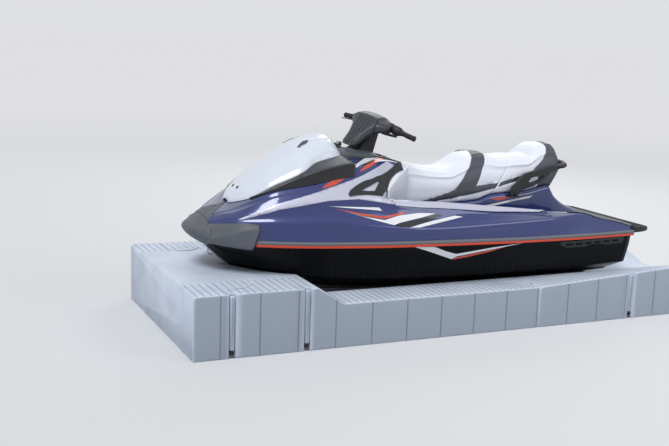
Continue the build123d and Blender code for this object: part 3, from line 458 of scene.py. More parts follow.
# Upper deck: one fibreglass moulding in dark blue metallic gelcoat, with footwells either side of a
# pedestal, a bin under the hood and a small bin behind the steering. The clear top coat makes the
# creases along its sides shine.
deck_rows = [
    # s, then y and height of crease, valley, rim outside, rim inside, well outside, well inside,
    # shroud's edge, shroud's crease and top edge
    (100, 185, 505, 170, 522, 150, 540, 140, 545, 130, 550, 120, 555, 110, 558, 80, 562, 40, 565),
    (170, 262, 532, 245, 553, 228, 570, 215, 576, 200, 582, 185, 588, 170, 592, 120, 598, 50, 602),
    (240, 325, 555, 308, 577, 296, 594, 285, 600, 270, 607, 258, 612, 245, 616, 160, 624, 60, 628),
    (480, 443, 571, 413, 607, 408, 652, 398, 668, 388, 684, 378, 698, 368, 712, 330, 750, 150, 762),
    (780, 517, 574, 470, 620, 452, 700, 444, 712, 438, 724, 430, 736, 422, 748, 370, 808, 150, 822),
    (1000, 553, 556, 497, 606, 470, 707, 466, 714, 462, 721, 458, 728, 452, 736, 350, 890, 150, 925),
    (1143, 564, 542, 509, 592, 485, 687, 478, 697, 474, 702, 470, 708, 466, 716, 293, 904, 130, 928),
    (1200, 568, 536, 515, 586, 491, 679, 470, 696, 458, 470, 425, 470, 421, 744, 272, 909, 120, 929),
    (1250, 572, 531, 520, 582, 497, 670, 461, 697, 438, 446, 392, 446, 382, 776, 252, 914, 110, 930),
    (1398, 579, 520, 524, 566, 496, 652, 457, 682, 434, 446, 270, 446, 264, 852, 238, 893, 100, 896),
    (1404, 579, 520, 524, 566, 496, 651, 457, 681, 434, 446, 264, 446, 259, 855, 232, 660, 100, 600),
    (1431, 580, 519, 526, 564, 496, 648, 457, 678, 434, 446, 238, 446, 240, 868, 226, 640, 100, 600),
    (1450, 581, 519, 528, 562, 497, 646, 457, 676, 434, 446, 236, 446, 224, 604, 215, 600, 100, 600),
    (1550, 583, 518, 533, 556, 500, 638, 455, 668, 434, 446, 236, 446, 222, 594, 212, 600, 100, 600),
    (2000, 583, 530, 537, 556, 498, 590, 455, 622, 434, 446, 236, 446, 222, 608, 212, 620, 100, 620),
    (2120, 578, 533, 535, 553, 492, 582, 452, 608, 434, 446, 236, 446, 224, 640, 208, 655, 100, 655),
    (2400, 562, 540, 528, 551, 479, 563, 445, 574, 432, 446, 236, 446, 224, 655, 205, 672, 100, 672),
    (2600, 527, 550, 508, 553, 480, 556, 441, 556, 416, 446, 228, 446, 214, 691, 191, 709, 92, 711),
    (2650, 518, 552, 503, 553, 480, 554, 440, 551, 412, 446, 226, 446, 212, 622, 187, 640, 90, 642),
    (2766, 505, 529, 490, 531, 470, 533, 429, 526, 405, 446, 216, 446, 196, 546, 160, 562, 84, 564),
    (2860, 495, 510, 480, 513, 462, 515, 420, 506, 400, 446, 208, 446, 178, 512, 140, 526, 80, 528),
    (2980, 484, 482, 468, 485, 452, 485, 415, 471, 400, 446, 206, 446, 160, 447, 120, 447, 70, 447),
    (3130, 474, 440, 458, 444, 440, 446, 416, 446, 402, 446, 206, 446, 160, 446, 120, 446, 70, 446),
    (3150, 472, 436, 457, 442, 440, 445, 416, 446, 402, 446, 206, 446, 160, 446, 120, 446, 70, 446),
]
# Metallic blue gelcoat under clear coat: deep blue face on, paler flecks where the flakes catch the
# light, and a sharp gloss on top. Real flakes of 0.1 mm are drawn 0.7 mm wide so that they show, and
# the clear coat's slow waves are 110 mm long.
blue_gelcoat, tree, shader = finish("metallic_blue_gelcoat", "#14276a", Metallic=0.2, Roughness=0.28,
                                    Coat_Weight=1.0, Coat_Roughness=0.04, IOR=1.5)
where = node(tree, "ShaderNodeTexCoord").outputs["Object"]
flake = node(tree, "ShaderNodeTexVoronoi", {"Vector": where, "Scale": 1400.0}).outputs["Color"]
glint = node(tree, "ShaderNodeSeparateColor", {0: flake}).outputs[0]
bright = node(tree, "ShaderNodeMapRange", {0: glint, 1: 0.55, 2: 1.0, 3: 0.0, 4: 0.45}).outputs[0]
flecks = node(tree, "ShaderNodeMix", {"Factor": bright, 6: linear("#122462"), 7: linear("#3652ae")},
              data_type="RGBA").outputs[2]
tree.links.new(flecks, shader.inputs["Base Color"])
wave = node(tree, "ShaderNodeTexNoise", {"Vector": where, "Scale": 9.0, "Detail": 1.0}).outputs[0]
press = node(tree, "ShaderNodeBump", {"Height": wave, "Distance": 0.002, "Strength": 0.08}).outputs[0]
tree.links.new(press, shader.inputs["Normal"])


# Openings of the bins: from, to, half breadth
bins = ((380, 860, 151), (1306, 1384, 101))
bin_ends = [s for low, high, _ in bins for s in (low, high)]
deck_rows = sorted(deck_rows + [(s, *(row_value(deck_rows, s, c) for c in range(1, 19))) for s in bin_ends])


def deck_section(s):
    """Half of the deck's section at s, from the middle out to the flange."""
    pairs = [(row_value(deck_rows, s, c), row_value(deck_rows, s, c + 1)) for c in range(1, 19, 2)]
    return soften([(0, pairs[8][1]), *reversed(pairs), (breadth(s) - 2, bond(s))],
                  (0, 20, 16, 14, 25, 25, 14, 16, 45, 14, 0), arc=4, flat=3,
                  crowns=[0, 0, 4, 0, 0, 0, 0, 2, 0, 4])


def over_bins(s_low, s_high, ends):
    """Faces of the deck's top that the bins leave open."""
    y, middle = max(abs(p.y) for p in ends) * 1000, (s_low + s_high) / 2
    return any(low <= middle <= high and y < half for low, high, half in bins)


def skin_of(rows, section, step, name, material, skip=None):
    """Loft a skin symmetric about the middle from a half section that starts there."""
    marks, sections = stations(rows, step), []
    for s in marks:
        half = section(s)
        sections.append([at(s, -y, h) for y, h in reversed(half[1:])] + [at(s, y, h) for y, h in half])

    def left_open(i, j):
        """Whether the face between rows i and i + 1, from point j on, is left out."""
        return skip is not None and skip(marks[i], marks[i + 1], sections[i][j:j + 2])

    return loft(name, sections, material, closed=False, caps=False, skip=left_open)


deck = skin_of(deck_rows, deck_section, 22, "deck_moulding", blue_gelcoat, skip=over_bins)
fit(deck, ROOT, "deck_upper", slot="gelcoat_blue")

# Bin liners: open tubs of black polypropylene hung in the bins under the hood and behind the
# steering, moulded in one piece with walls 3 mm thick.
# Polypropylene is soft black with a dull bloom. Its real spark texture of 0.3 mm is drawn as 1.1 mm.
black_plastic, tree, shader = finish("black_polypropylene", "#191a1d", Roughness=0.5)
pressed(tree, shader, 900.0, 2.0, 0.0003, 0.5)


def tub(name, s_low, s_high, half, floor_h, material):
    """Open tub between two distances, as wide as twice half, its rim just under the deck's top."""
    rings = []
    for grow, h in ((0, None), (-2, floor_h + 12), (-12, floor_h)):
        corners = [(s_low - grow, -half - grow), (s_high + grow, -half - grow),
                   (s_high + grow, half + grow), (s_low - grow, half + grow)]
        rings.append([at(s, y, row_value(deck_rows, s, 18) - 1 if h is None else h) for s, y in corners])
    faces = [(i * 4 + j, i * 4 + (j + 1) % 4, (i + 1) * 4 + (j + 1) % 4, (i + 1) * 4 + j)
             for i in range(2) for j in range(4)]
    made = mesh_of(name, [p for ring in rings for p in ring], faces + [(8, 9, 10, 11)], material)
    made.modifiers.new("wall", "SOLIDIFY").thickness = 0.003
    made.modifiers.new("edges", "BEVEL").width = 0.002
    return made


fit(tub("hood_bin_liner", 380, 860, 150, 522, black_plastic), ROOT)
fit(tub("glove_bin_liner", 1306, 1384, 97, 792, black_plastic), ROOT)

# Side panels: silver painted ABS blades clipped over the deck's shoulder, wide at the knee and
# running back to the stern as a narrow strip.
# Silver paint on ABS: pale and cool, brighter where it faces the light, under a soft clear gloss. Its
# real flakes of 0.05 mm are drawn as a drift of tone 1.1 mm wide.
silver_abs, tree, shader = finish("silver_painted_abs", "#c6c8da", Metallic=0.3, Roughness=0.32,
                                  Coat_Weight=0.6, Coat_Roughness=0.08)
where = node(tree, "ShaderNodeTexCoord").outputs["Object"]
flake = node(tree, "ShaderNodeTexNoise", {"Vector": where, "Scale": 900.0, "Detail": 2.0}).outputs[0]
flecks = node(tree, "ShaderNodeMix", {"Factor": flake, 6: linear("#bfc1d6"), 7: linear("#cfd1e0")},
              data_type="RGBA").outputs[2]
tree.links.new(flecks, shader.inputs["Base Color"])


def surface_of(*pieces):
    """Search tree over the shown shapes of pieces, in the part's frame."""
    points, faces = [], []
    for piece in pieces:
        start = len(points)
        points += [piece.matrix_world @ v.co for v in piece.data.vertices]
        faces += [[start + i for i in p.vertices] for p in piece.data.polygons]
    return BVHTree.FromPolygons(points, faces)


def cut_along(shell, place, way, parts=None, near=1e-6):
    """Cut a shell's faces, or only some of its parts, along the plane through a place."""
    parts = shell.verts[:] + shell.edges[:] + shell.faces[:] if parts is None else parts
    bmesh.ops.bisect_plane(shell, geom=parts, plane_co=place, plane_no=way, dist=near)


def mesh_from(name, shell, material):
    """Mesh object from an edited shell, which is used up."""
    shell.verts.index_update()
    points, faces = [v.co.copy() for v in shell.verts], [[v.index for v in f.verts] for f in shell.faces]
    shell.free()
    return mesh_of(name, points, faces, material)


def cut_sheet(outline, step, holes=()):
    """Flat sheet cut to an outline with holes, divided every step both ways."""
    sheet = bmesh.new()
    rims = []
    for loop in (outline, *holes):
        corners = [sheet.verts.new((a, b, 0)) for a, b in loop]
        rims += [sheet.edges.new((corners[i - 1], corners[i])) for i in range(len(corners))]
    bmesh.ops.triangle_fill(sheet, use_beauty=True, use_dissolve=False, edges=rims)
    for axis in (0, 1):
        low, high = min(p[axis] for p in outline), max(p[axis] for p in outline)
        for mark in np.arange(low + step, high, step):
            way = Vector((1, 0, 0)) if axis == 0 else Vector((0, 1, 0))
            cut_along(sheet, way * mark, way)
    return sheet


def lay_on(name, below, outline, material, lift, step, thick=0.0, above=False, side=1, outside=1600,
           holes=()):
    """Film or panel cut to an outline in distance behind the nose and height (or y, from above),
    laid on the surface below. Its edge is folded down by its thickness."""
    sheet = cut_sheet(outline, step, holes)
    lost = []
    for vert in sheet.verts:
        s, v = vert.co.x, vert.co.y
        if above:
            place, normal, _, _ = below.ray_cast(at(s, side * v, 1600), Vector((0, 0, -1)))
        else:
            place, normal, _, _ = below.ray_cast(at(s, side * outside, v), Vector((0, -side, 0)))
        if place is None:
            lost.append(vert)
            continue
        toward = Vector((0, 0, 1)) if above else Vector((0, side, 0))
        if normal.dot(toward) < 0:
            normal = -normal
        vert.co = place + normal * (lift / 1000)
        vert.normal = normal
    bmesh.ops.delete(sheet, geom=lost, context="VERTS")
    if thick:
        normals = {v: v.normal.copy() for v in sheet.verts}
        rim = [e for e in sheet.edges if e.is_boundary]
        folded = {}
        for edge in rim:
            for vert in edge.verts:
                if vert not in folded:
                    folded[vert] = sheet.verts.new(vert.co - normals[vert] * (thick / 1000))
        for edge in rim:
            a, b = edge.verts
            sheet.faces.new((a, b, folded[b], folded[a]))
    bmesh.ops.recalc_face_normals(sheet, faces=sheet.faces)
    return mesh_from(name, sheet, material)


def both(name, *args, **settings):
    """The same film or panel on both sides, as one piece."""
    halves = [lay_on(name + end, *args, side=side, **settings) for side, end in ((1, "_a"), (-1, "_b"))]
    return joined(name, halves)


deck_shape = surface_of(deck)

# Top edge then bottom edge, as distance behind the nose and height
blade_top = [(248, 583), (475, 682), (769, 760), (1000, 826), (1150, 868), (1262, 903), (1283, 905)]
blade_foot = [(1380, 858), (1300, 826), (1190, 752), (1205, 700), (1248, 694), (1224, 668), (980, 706),
              (782, 699), (475, 648), (256, 578)]
blade_front = both("blade_front", deck_shape, blade_top + blade_foot, silver_abs, lift=3.0, thick=5.0,
                   step=16)
# The strip lies between the deck's rim and its outer wall, from above
strip_marks = [1224, 1262, 1330, 1398, 1431, 1450, 1550, 1700, 1850, 2000, 2120, 2260, 2335]
strip = [(s, row_value(deck_rows, s, 5) + 3) for s in strip_marks] + [(2405, 451), (2385, 450)]
strip += [(s, row_value(deck_rows, s, 7) + 8) for s in strip_marks[:0:-1]] + [(1206, 478)]
blade_back = both("blade_back", deck_shape, strip, silver_abs, lift=3.2, thick=5.0, step=16, above=True)
blade = joined("side_blade", [blade_front, blade_back])
fit(blade, ROOT, "side_panel_left", "side_panel_right", slot="panel_silver")

# Bow guard: grey textured ABS over the nose and the flange, with a spine up to the hood.
# Unpainted ABS off a leather grained mould: matt mid grey that scuffs paler in patches 70 mm wide.
# The grain of 1.0 mm is drawn as 1.9 mm.
textured_abs, tree, shader = finish("textured_grey_abs", "#585c63", Roughness=0.55)
where, _ = pressed(tree, shader, 520.0, 3.0, 0.0004, 0.7)
cloud = node(tree, "ShaderNodeTexNoise", {"Vector": where, "Scale": 14.0, "Detail": 4.0}).outputs[0]
tone = node(tree, "ShaderNodeMix", {"Factor": cloud, 6: linear("#53575e"), 7: linear("#62666d")},
            data_type="RGBA").outputs[2]
tree.links.new(tone, shader.inputs["Base Color"])
nose_rows = [
    # s, then y and height of keel side, low edge, widest, shoulder, top side and middle height
    (1, 40, 470, 70, 474, 84, 486, 74, 497, 45, 505, 508),
    (14, 60, 452, 96, 462, 115, 483, 104, 502, 64, 515, 519),
    (45, 85, 425, 138, 445, 163, 471, 152, 505, 90, 532, 541),
    (100, 110, 398, 190, 415, 226, 447, 205, 511, 130, 556, 569),
    (104, 110, 398, 190, 415, 226, 447, 205, 511, 130, 556, 569),
]


def nose_section(s):
    """Outline of the guard round the nose at s."""
    v = [row_value(nose_rows, s, c) for c in range(1, 12)]
    pairs = list(zip(v[0:10:2], v[1:10:2]))
    half = soften([(0, pairs[0][1] - 3), *pairs, (0, v[10])], (0, 20, 20, 24, 24, 30, 0), arc=4, flat=3)
    return [at(s, y, h) for y, h in whole(half)]


nose = loft("bow_guard_nose", [nose_section(s) for s in stations(nose_rows, 12)], textured_abs)
craft_skin = surface_of(deck, hull)


def side_line(s, h):
    """How far out the craft's side is at s and h."""
    place = craft_skin.ray_cast(at(s, 1600, h), Vector((0, -1, 0)))[0]
    return place.y * 1000 if place else breadth(s)


# Distance behind the nose, and height of the guard's upper edge
guard_rows = [(86, 531), (140, 543), (200, 553), (284, 564), (330, 560), (357, 554)]


def guard_ring(s, side):
    """Bumper's outline over the flange, from the deck's side down to the hull."""
    top, low = row_value(guard_rows, s, 1), bond(s) - 44
    slant = 0.3 * max(0, (s - 200) / 157)
    crease = low + (top - low) * (0.3 + 0.6 * (s - 86) / 271)
    upper, lower = side_line(s, top), side_line(s, low)
    shoulder = max(side_line(s, h) + 8 for h in (top - 18, top - 10))
    foot = max(side_line(s, h) for h in (low, low + 12, low + 24)) + 12
    ring = soften([(upper - 12, top - 2), (upper + 5, top), (shoulder, top - 18), (breadth(s) + 19, crease),
                   (foot, low + 10), (lower + 4, low - 4), (lower - 14, low + 12)],
                  (0, 3, 8, 5, 8, 4, 0), arc=4, flat=3)
    return [at(s - slant * (top - h), side * y, h) for y, h in ring]


wings = [loft("bow_guard_wing", [guard_ring(s, side) for s in stations(guard_rows, 14)], textured_abs)
         for side in (1, -1)]
spine_points = [(90, -172), (157, -104), (232, -26), (262, -16), (262, 16), (232, 26), (157, 104), (90, 172)]
spine = lay_on("bow_guard_spine", deck_shape, spine_points, textured_abs, lift=3.0, thick=5.0, step=14,
               above=True)
seam_line = [(62, 64), (140, 38), (214, 7), (212, 2), (138, 32), (60, 58)]
guard_seam = both("bow_guard_seam", surface_of(spine, nose), seam_line, black_plastic, lift=0.5, step=10,
                  above=True)
fit(joined("bow_guard_cover", [nose, *wings, spine, guard_seam]), ROOT, "bow_guard", slot="guard_grey")

# Rub rail: extruded grey rubber riveted over the flange where hull and deck meet, with a bright
# vinyl insert pressed into its lower edge.
# Extruded rubber is matt grey with a slightly rough skin, drawn as 3.3 mm.
rail_rubber, tree, shader = finish("extruded_grey_rubber", "#6b6f77", Roughness=0.6)
pressed(tree, shader, 300.0, 4.0, 0.0004, 0.5)
# The vinyl is clear red orange with a soft shine, nearly smooth. Its skin is drawn as 2 mm.
insert_vinyl, tree, shader = finish("red_orange_vinyl_insert", "#d2411f", Roughness=0.42, Coat_Weight=0.2)
pressed(tree, shader, 500.0, 2.0, 0.0002, 0.4)
rails = []
for side in (1, -1):
    marks = [330.0] + [float(v) for v in np.arange(360, 3130, 40)] + [3146.0]
    # Points out from the flange and up from it
    for name, points, material in (
        ("rail_body", [(0, -8), (12, -8), (15, -2), (15, 8), (11, 13), (0, 14)], rail_rubber),
        ("rail_insert", [(0, -25), (9, -25), (13.5, -22), (13.5, -11), (11, -8), (0, -8)], insert_vinyl),
    ):
        ring = soften(points, (0, 4, 4, 4, 4, 0), arc=3, flat=1)
        sections = [[at(s, side * (breadth(s) - 1 + y), bond(s) + h) for y, h in ring] for s in marks]
        rails.append(loft(name, sections, material))
fit(joined("rub_rail_strip", rails), ROOT, "rub_rail", slot="rail_grey")

# Hood: a shell of white ABS 6 mm thick over the front bin, vacuum formed, hinged at its front edge
# and latched behind, where its edge turns down to the deck.
# Gloss ABS is cool white and clean, with soft highlights that bend over the sheet's slow waves of
# 170 mm, where its tone drifts a little too.
white_abs, tree, shader = finish("white_gloss_abs", "#e3e9f3", Roughness=0.22, Coat_Weight=0.5,
                                 Coat_Roughness=0.05, IOR=1.5)
where = node(tree, "ShaderNodeTexCoord").outputs["Object"]
wave = node(tree, "ShaderNodeTexNoise", {"Vector": where, "Scale": 6.0, "Detail": 2.0}).outputs[0]
tone = node(tree, "ShaderNodeMix", {"Factor": wave, 6: linear("#d6deeb"), 7: linear("#dfe6f1")},
            data_type="RGBA").outputs[2]
tree.links.new(tone, shader.inputs["Base Color"])
press = node(tree, "ShaderNodeBump", {"Height": wave, "Distance": 0.002, "Strength": 0.1}).outputs[0]
tree.links.new(press, shader.inputs["Normal"])
hood_rows = [
    # s, then y and height of foot edge, side's top, shoulder, ridge, and the crown's height
    (264, 52, 640, 50, 648, 36, 658, 16, 662, 664),
    (290, 112, 655, 110, 664, 84, 682, 34, 694, 697),
    (354, 214, 672, 213, 700, 150, 738, 60, 760, 766),
    (480, 273, 714, 272, 778, 196, 838, 80, 862, 868),
    (660, 318, 792, 316, 862, 212, 950, 90, 984, 990),
    (780, 262, 850, 259, 917, 186, 1010, 84, 1040, 1046),
    (900, 233, 894, 230, 940, 164, 1034, 76, 1066, 1070),
    (940, 222, 902, 219, 944, 146, 1026, 70, 1058, 1062),
    (962, 213, 908, 210, 938, 132, 1000, 62, 1030, 1034),
]


def deck_line(s, y):
    """Height of the deck's skin at s and y."""
    place = deck_shape.ray_cast(at(s, y, 1600), Vector((0, 0, -1)))[0]
    return (place.z - keel_z) * 1000 if place else row_value(deck_rows, s, 18)


def hood_half(s):
    """Half of the hood's section at s, from its crown down to the deck."""
    v = [row_value(hood_rows, s, c) for c in range(1, 10)]
    foot = deck_line(s, v[0]) + 3
    return soften([(0, v[8]), (v[6], v[7]), (v[4], v[5]), (v[2], v[3]), (v[0], min(foot, v[3] - 3))],
                  (0, 60, 55, 16, 0), arc=5, flat=4, crowns=[0, -3, -5, -1])


hood = skin_of(hood_rows, hood_half, 14, "hood_shell", white_abs)
wall = hood.modifiers.new("wall", "SOLIDIFY")
wall.thickness, wall.offset = 0.006, -1.0
hood_end, tail_rings = 962, []
for drop, back in ((0, 0), (10, 5), (60, 7)):
    ring = []
    for y, h in whole(hood_half(hood_end)):
        low = max(h - drop, deck_line(hood_end, min(abs(y), 200)) + 3) if drop > 20 else h - drop
        ring.append(at(hood_end + back, y * (1 - drop / 900), low))
    tail_rings.append(ring)
tail = loft("hood_tail", tail_rings, white_abs, closed=False, caps=False)
tail.modifiers.new("wall", "SOLIDIFY").thickness = 0.004
fit(hood, "hood", "hood", slot="hood_white")
fit(tail, "hood", slot="hood_white")
hood_shape = surface_of(hood, tail)

# Hood pods: gloss black housings down the sides of the hood, capped in grey ABS, that carry the
# mirrors at their rear ends.
# Gloss black ABS mirrors its surroundings, a little bent by the moulding's waves of 80 mm.
gloss_black, tree, shader = finish("gloss_black_abs", "#0b0c0f", Roughness=0.2, IOR=1.5, Coat_Weight=0.3,
                                   Coat_Roughness=0.06)
pressed(tree, shader, 12.0, 2.0, 0.001, 0.1)
# Satin ABS is dark grey with a broad, dim highlight. Its spark texture of 0.5 mm is drawn as 2 mm.
cap_abs, tree, shader = finish("dark_grey_satin_abs", "#34383f", Roughness=0.42)
pressed(tree, shader, 500.0, 3.0, 0.0003, 0.5)
pod_rows = [
    # s, inner y and top, outer y and top, foot y
    (350, 210, 694, 230, 688, 234), (480, 270, 776, 322, 772, 328), (660, 314, 860, 356, 848, 366),
    (780, 258, 916, 374, 888, 378), (900, 228, 940, 382, 912, 385), (962, 208, 950, 386, 922, 387),
    (982, 206, 948, 387, 923, 387), (990, 208, 940, 384, 916, 384),
]
for name, side in (("left", 1), ("right", -1)):
    marks = stations(pod_rows, 20)
    body_rings = []
    for s in marks:
        inner, inner_h, outer, outer_h, foot = (row_value(pod_rows, s, c) for c in range(1, 6))
        low = deck_line(s, foot) + 4
        outer_h = max(outer_h, low + 14)
        waist = outer_h - 0.28 * (outer_h - low)
        ring = soften([(inner, inner_h - 3), (outer, outer_h - 3), (outer + 2, waist), (foot, low + 2),
                       (foot - 6, low - 6), (inner, deck_line(s, inner) + 3)],
                      (0, 5, 6, 10, 4, 0), arc=3, flat=3)
        body_rings.append([at(s, side * y, h) for y, h in ring])
    pod = loft(f"hood_pod_{name}_housing", body_rings, gloss_black)
    cap_rings = []
    for s in stations([(640,), (980,)], 20):
        inner, inner_h, outer, outer_h = (row_value(pod_rows, s, c) for c in range(1, 5))
        ring = soften([(inner + 4, inner_h - 4), (inner + 4, inner_h + 1), (outer - 3, outer_h + 2),
                       (outer + 5, outer_h - 5), (outer + 5, outer_h - 7), (outer - 4, outer_h - 7)],
                      (0, 3, 8, 5, 2, 0), arc=3, flat=3)
        cap_rings.append([at(s, side * y, h) for y, h in ring])
    cap = loft(f"hood_pod_{name}_cap", cap_rings, cap_abs)
    fit(pod, "hood", f"hood_pod_{name}", slot="pod_dark")
    fit(cap, "hood", slot="pod_dark")

# Hood vents and fasteners: dark satin ABS insets either side of the hood's crown, snapped in from
# above, and two round fasteners of the same plastic at its nose.
vent_line = [(699, 122), (751, 82), (788, 88), (776, 118), (757, 137), (706, 147)]
fastener_shape = [(-2, 12), (1.5, 12), (3, 10), (3, 6), (1.5, 5), (1.5, 0.5)]
fasteners = [both("hood_vent", hood_shape, vent_line, cap_abs, lift=0.8, step=12, above=True)]
for side in (1, -1):
    place, normal, _, _ = hood_shape.ray_cast(at(330, side * 43, 1600), Vector((0, 0, -1)))
    fasteners.append(turned("hood_fastener", place, place + normal, fastener_shape, cap_abs, turns=20))
fit(joined("hood_fittings", fasteners), "hood", slot="pod_dark")

# Mirrors: flat silvered glass, one set into the rear end of each pod, turned to the rider.
# Silvered glass is a bare mirror, with dust in spots of 17 mm that only blurs it here and there.
mirror_glass, tree, shader = finish("silvered_mirror_glass", "#d5d9dd", Metallic=1.0, Roughness=0.03)
where = node(tree, "ShaderNodeTexCoord").outputs["Object"]
dust = node(tree, "ShaderNodeTexNoise", {"Vector": where, "Scale": 60.0, "Detail": 5.0}).outputs[0]
blurred = node(tree, "ShaderNodeMapRange", {0: dust, 1: 0.4, 2: 0.9, 3: 0.02, 4: 0.12}).outputs[0]
tree.links.new(blurred, shader.inputs["Roughness"])


def dress(name, material):
    """Give a CAD piece that keeps its shape its material."""
    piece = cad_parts[name]
    piece.data.materials.clear()
    piece.data.materials.append(material)


dress("mirrors", mirror_glass)

# Dash: one moulding of charcoal ABS around the steering, between the hood and the glovebox, screwed
# down to the deck along both of its feet.
# Grained ABS of this shade is matt, with tone that drifts over 100 mm. The mould's leather grain of
# 1.0 mm is drawn as 2.1 mm.
dash_abs, tree, shader = finish("textured_charcoal_abs", "#474b54", Roughness=0.5)
where, _ = pressed(tree, shader, 480.0, 3.0, 0.0004, 0.7)
cloud = node(tree, "ShaderNodeTexNoise", {"Vector": where, "Scale": 10.0, "Detail": 4.0}).outputs[0]
tone = node(tree, "ShaderNodeMix", {"Factor": cloud, 6: linear("#41454d"), 7: linear("#50545e")},
            data_type="RGBA").outputs[2]
tree.links.new(tone, shader.inputs["Base Color"])
dash_rows = [
    # s, foot half breadth, top half breadth and height, crown half breadth and height
    (970, 170, 163, 940, 86, 974), (1000, 171, 165, 950, 90, 984), (1050, 171, 170, 950, 92, 978),
    (1120, 170, 172, 950, 92, 970), (1213, 168, 170, 944, 90, 959), (1258, 162, 158, 937, 84, 950),
    (1286, 154, 144, 928, 77, 937),
]


def dash_half(s):
    """Half of the dash's section at s, from its crown down to the deck."""
    foot, top, top_h, crown, crown_h = (row_value(dash_rows, s, c) for c in range(1, 6))
    return soften([(0, crown_h + 1), (crown, crown_h), (top, top_h), (foot, deck_line(s, foot) + 1)],
                  (0, 50, 16, 0), arc=5, flat=4)


dash_skin = skin_of(dash_rows, dash_half, 12, "dash_cover", dash_abs)
ends = []
for s in (dash_rows[0][0], dash_rows[-1][0]):
    rim = whole(dash_half(s))
    foot = [(y, deck_line(s, min(abs(y), 160)) + 1) for y, h in rim]
    rings = [[at(s, y, h) for y, h in line] for line in (rim, foot)]
    ends.append(loft("dash_end", rings, dash_abs, closed=False, caps=False))
fit(joined("dash_cover", [dash_skin, *ends]), ROOT, "dash", slot="trim_black")

# Steering boot: a moulded black rubber neck around the column, flared where it stands on the dash.
# It stays still while the column turns inside it, 30 degrees back and 15 degrees to port at rest.
lean, turn = math.radians(30), math.radians(15)
steer_x = Vector((math.cos(lean) * math.cos(turn), math.sin(turn), math.sin(lean) * math.cos(turn)))
steer_z = Vector((-math.sin(lean), 0, math.cos(lean)))
steer_y = steer_z.cross(steer_x)


def steered(x, y, z):
    """Point of the steering's own frame: x to its front, y along the bar and z up its axis."""
    return at(1309, 0, 1150) + (steer_x * x + steer_y * y + steer_z * z) / 1000


neck_rows = [
    # height up the column's axis, then back, front and half breadth
    (-264, -106, 66, 80), (-238, -96, 56, 72), (-226, -92, 50, 62), (-180, -82, 38, 54),
    (-110, -70, 26, 45), (-60, -60, 20, 40), (-40, -56, 18, 38),
]
rings = []
for z in stations(neck_rows, 14):
    back, front, half = (row_value(neck_rows, z, c) for c in range(1, 4))
    ring = soften([(front, 0), (front, half - 12), (front - 22, half), (back + 14, half), (back, half - 16),
                   (back, 0)], (0, 8, 10, 12, 12, 0), arc=3, flat=2)
    rings.append([steered(x, y, z) for x, y in ring] + [steered(x, -y, z) for x, y in ring[-2:0:-1]])
fit(loft("steering_neck", rings, rubber), ROOT, "steering_boot", slot="rubber_black")

# Gauge: a gloss black housing stood on the dash and tilted to the rider, with a liquid crystal
# display, switched off, under its window.
dress("gauge", gloss_black)
# Display glass is almost black with a sharp shine. Its unlit bars show a shade paler, 6 mm apart.
display, tree, shader = finish("display_glass", "#1c211f", Roughness=0.08, IOR=1.5, Coat_Weight=1.0,
                               Coat_Roughness=0.02)
where = node(tree, "ShaderNodeTexCoord").outputs["Object"]
across = node(tree, "ShaderNodeSeparateXYZ", {0: where}).outputs[1]
bars_passed = node(tree, "ShaderNodeMath", {0: across, 1: 1 / 0.006}, operation="MULTIPLY").outputs[0]
bars = node(tree, "ShaderNodeMath", {0: bars_passed}, operation="FRACT").outputs[0]
mask = node(tree, "ShaderNodeMath", {0: bars, 1: 0.4}, operation="LESS_THAN").outputs[0]
tone = node(tree, "ShaderNodeMix", {"Factor": mask, 6: linear("#1b201f"), 7: linear("#2c3432")},
            data_type="RGBA").outputs[2]
tree.links.new(tone, shader.inputs["Base Color"])
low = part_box("gauge")[0]
half, foot, head = 0.041, low[2] + 0.014, low[2] + 0.039
display_edge = [(-half, foot), (half, foot), (half, head), (-half, head)]
corners = [Vector((low[0] - 0.0012, y, z)) for y, z in display_edge]
screen = mesh_of("gauge_screen", corners, [(0, 1, 2, 3)], display)
screen.modifiers.new("glass", "SOLIDIFY").thickness = 0.0015
fit(screen, ROOT, slot="display")


# Glovebox lid: a flat lid of black polypropylene on the slope behind the dash, hinged at its front
# edge, with a rubber ledge for the fingers along the rear one.


def object_of(name, shell, material):
    """Object from an edited shell, which is used up, with its material."""
    mesh = bpy.data.meshes.new(name)
    shell.to_mesh(mesh)
    shell.free()
    made = bpy.data.objects.new(name, mesh)
    bpy.context.scene.collection.objects.link(made)
    mesh.materials.append(material)
    return made


def plate(name, outline, place, thick, material, round_by):
    """Flat plate with rounded edges: outline in its own millimetres, put in place by a function."""
    sheet = bmesh.new()
    top = [sheet.verts.new(place(a, b, thick)) for a, b in outline]
    foot = [sheet.verts.new(place(a, b, 0)) for a, b in outline]
    n = len(outline)
    sheet.faces.new(top)
    sheet.faces.new(list(reversed(foot)))
    for i in range(n):
        sheet.faces.new((top[i], foot[i], foot[(i + 1) % n], top[(i + 1) % n]))
    bmesh.ops.recalc_face_normals(sheet, faces=sheet.faces)
    made = object_of(name, sheet, material)
    edges = made.modifiers.new("edges", "BEVEL")
    edges.width, edges.segments, edges.limit_method = round_by / 1000, 3, "ANGLE"
    return made


# Distance behind the nose and height of the slope's two ends
lid_slope = [(1300, 929), (1389, 898)]


def lid_place(a, b, up):
    """Point of the lid: along its slope, across, and up from its underside."""
    return at(1300 + a, b, row_value(lid_slope, 1300 + a, 1) + up)


corners = [(0, -96), (8, -104), (78, -104), (89, -92), (89, 92), (78, 104), (8, 104), (0, 96)]
lid = plate("glovebox_cover", corners, lid_place, 10, black_plastic, 3.0)
corners = [(72, -34), (87, -30), (87, 30), (72, 34)]
finger_ledge = plate("glovebox_ledge", corners, lambda a, b, up: lid_place(a, b, up + 10), 5, rubber, 2.0)
fit(joined("glovebox_cover", [lid, finger_ledge]), "glovebox", "glovebox_lid", slot="trim_black")

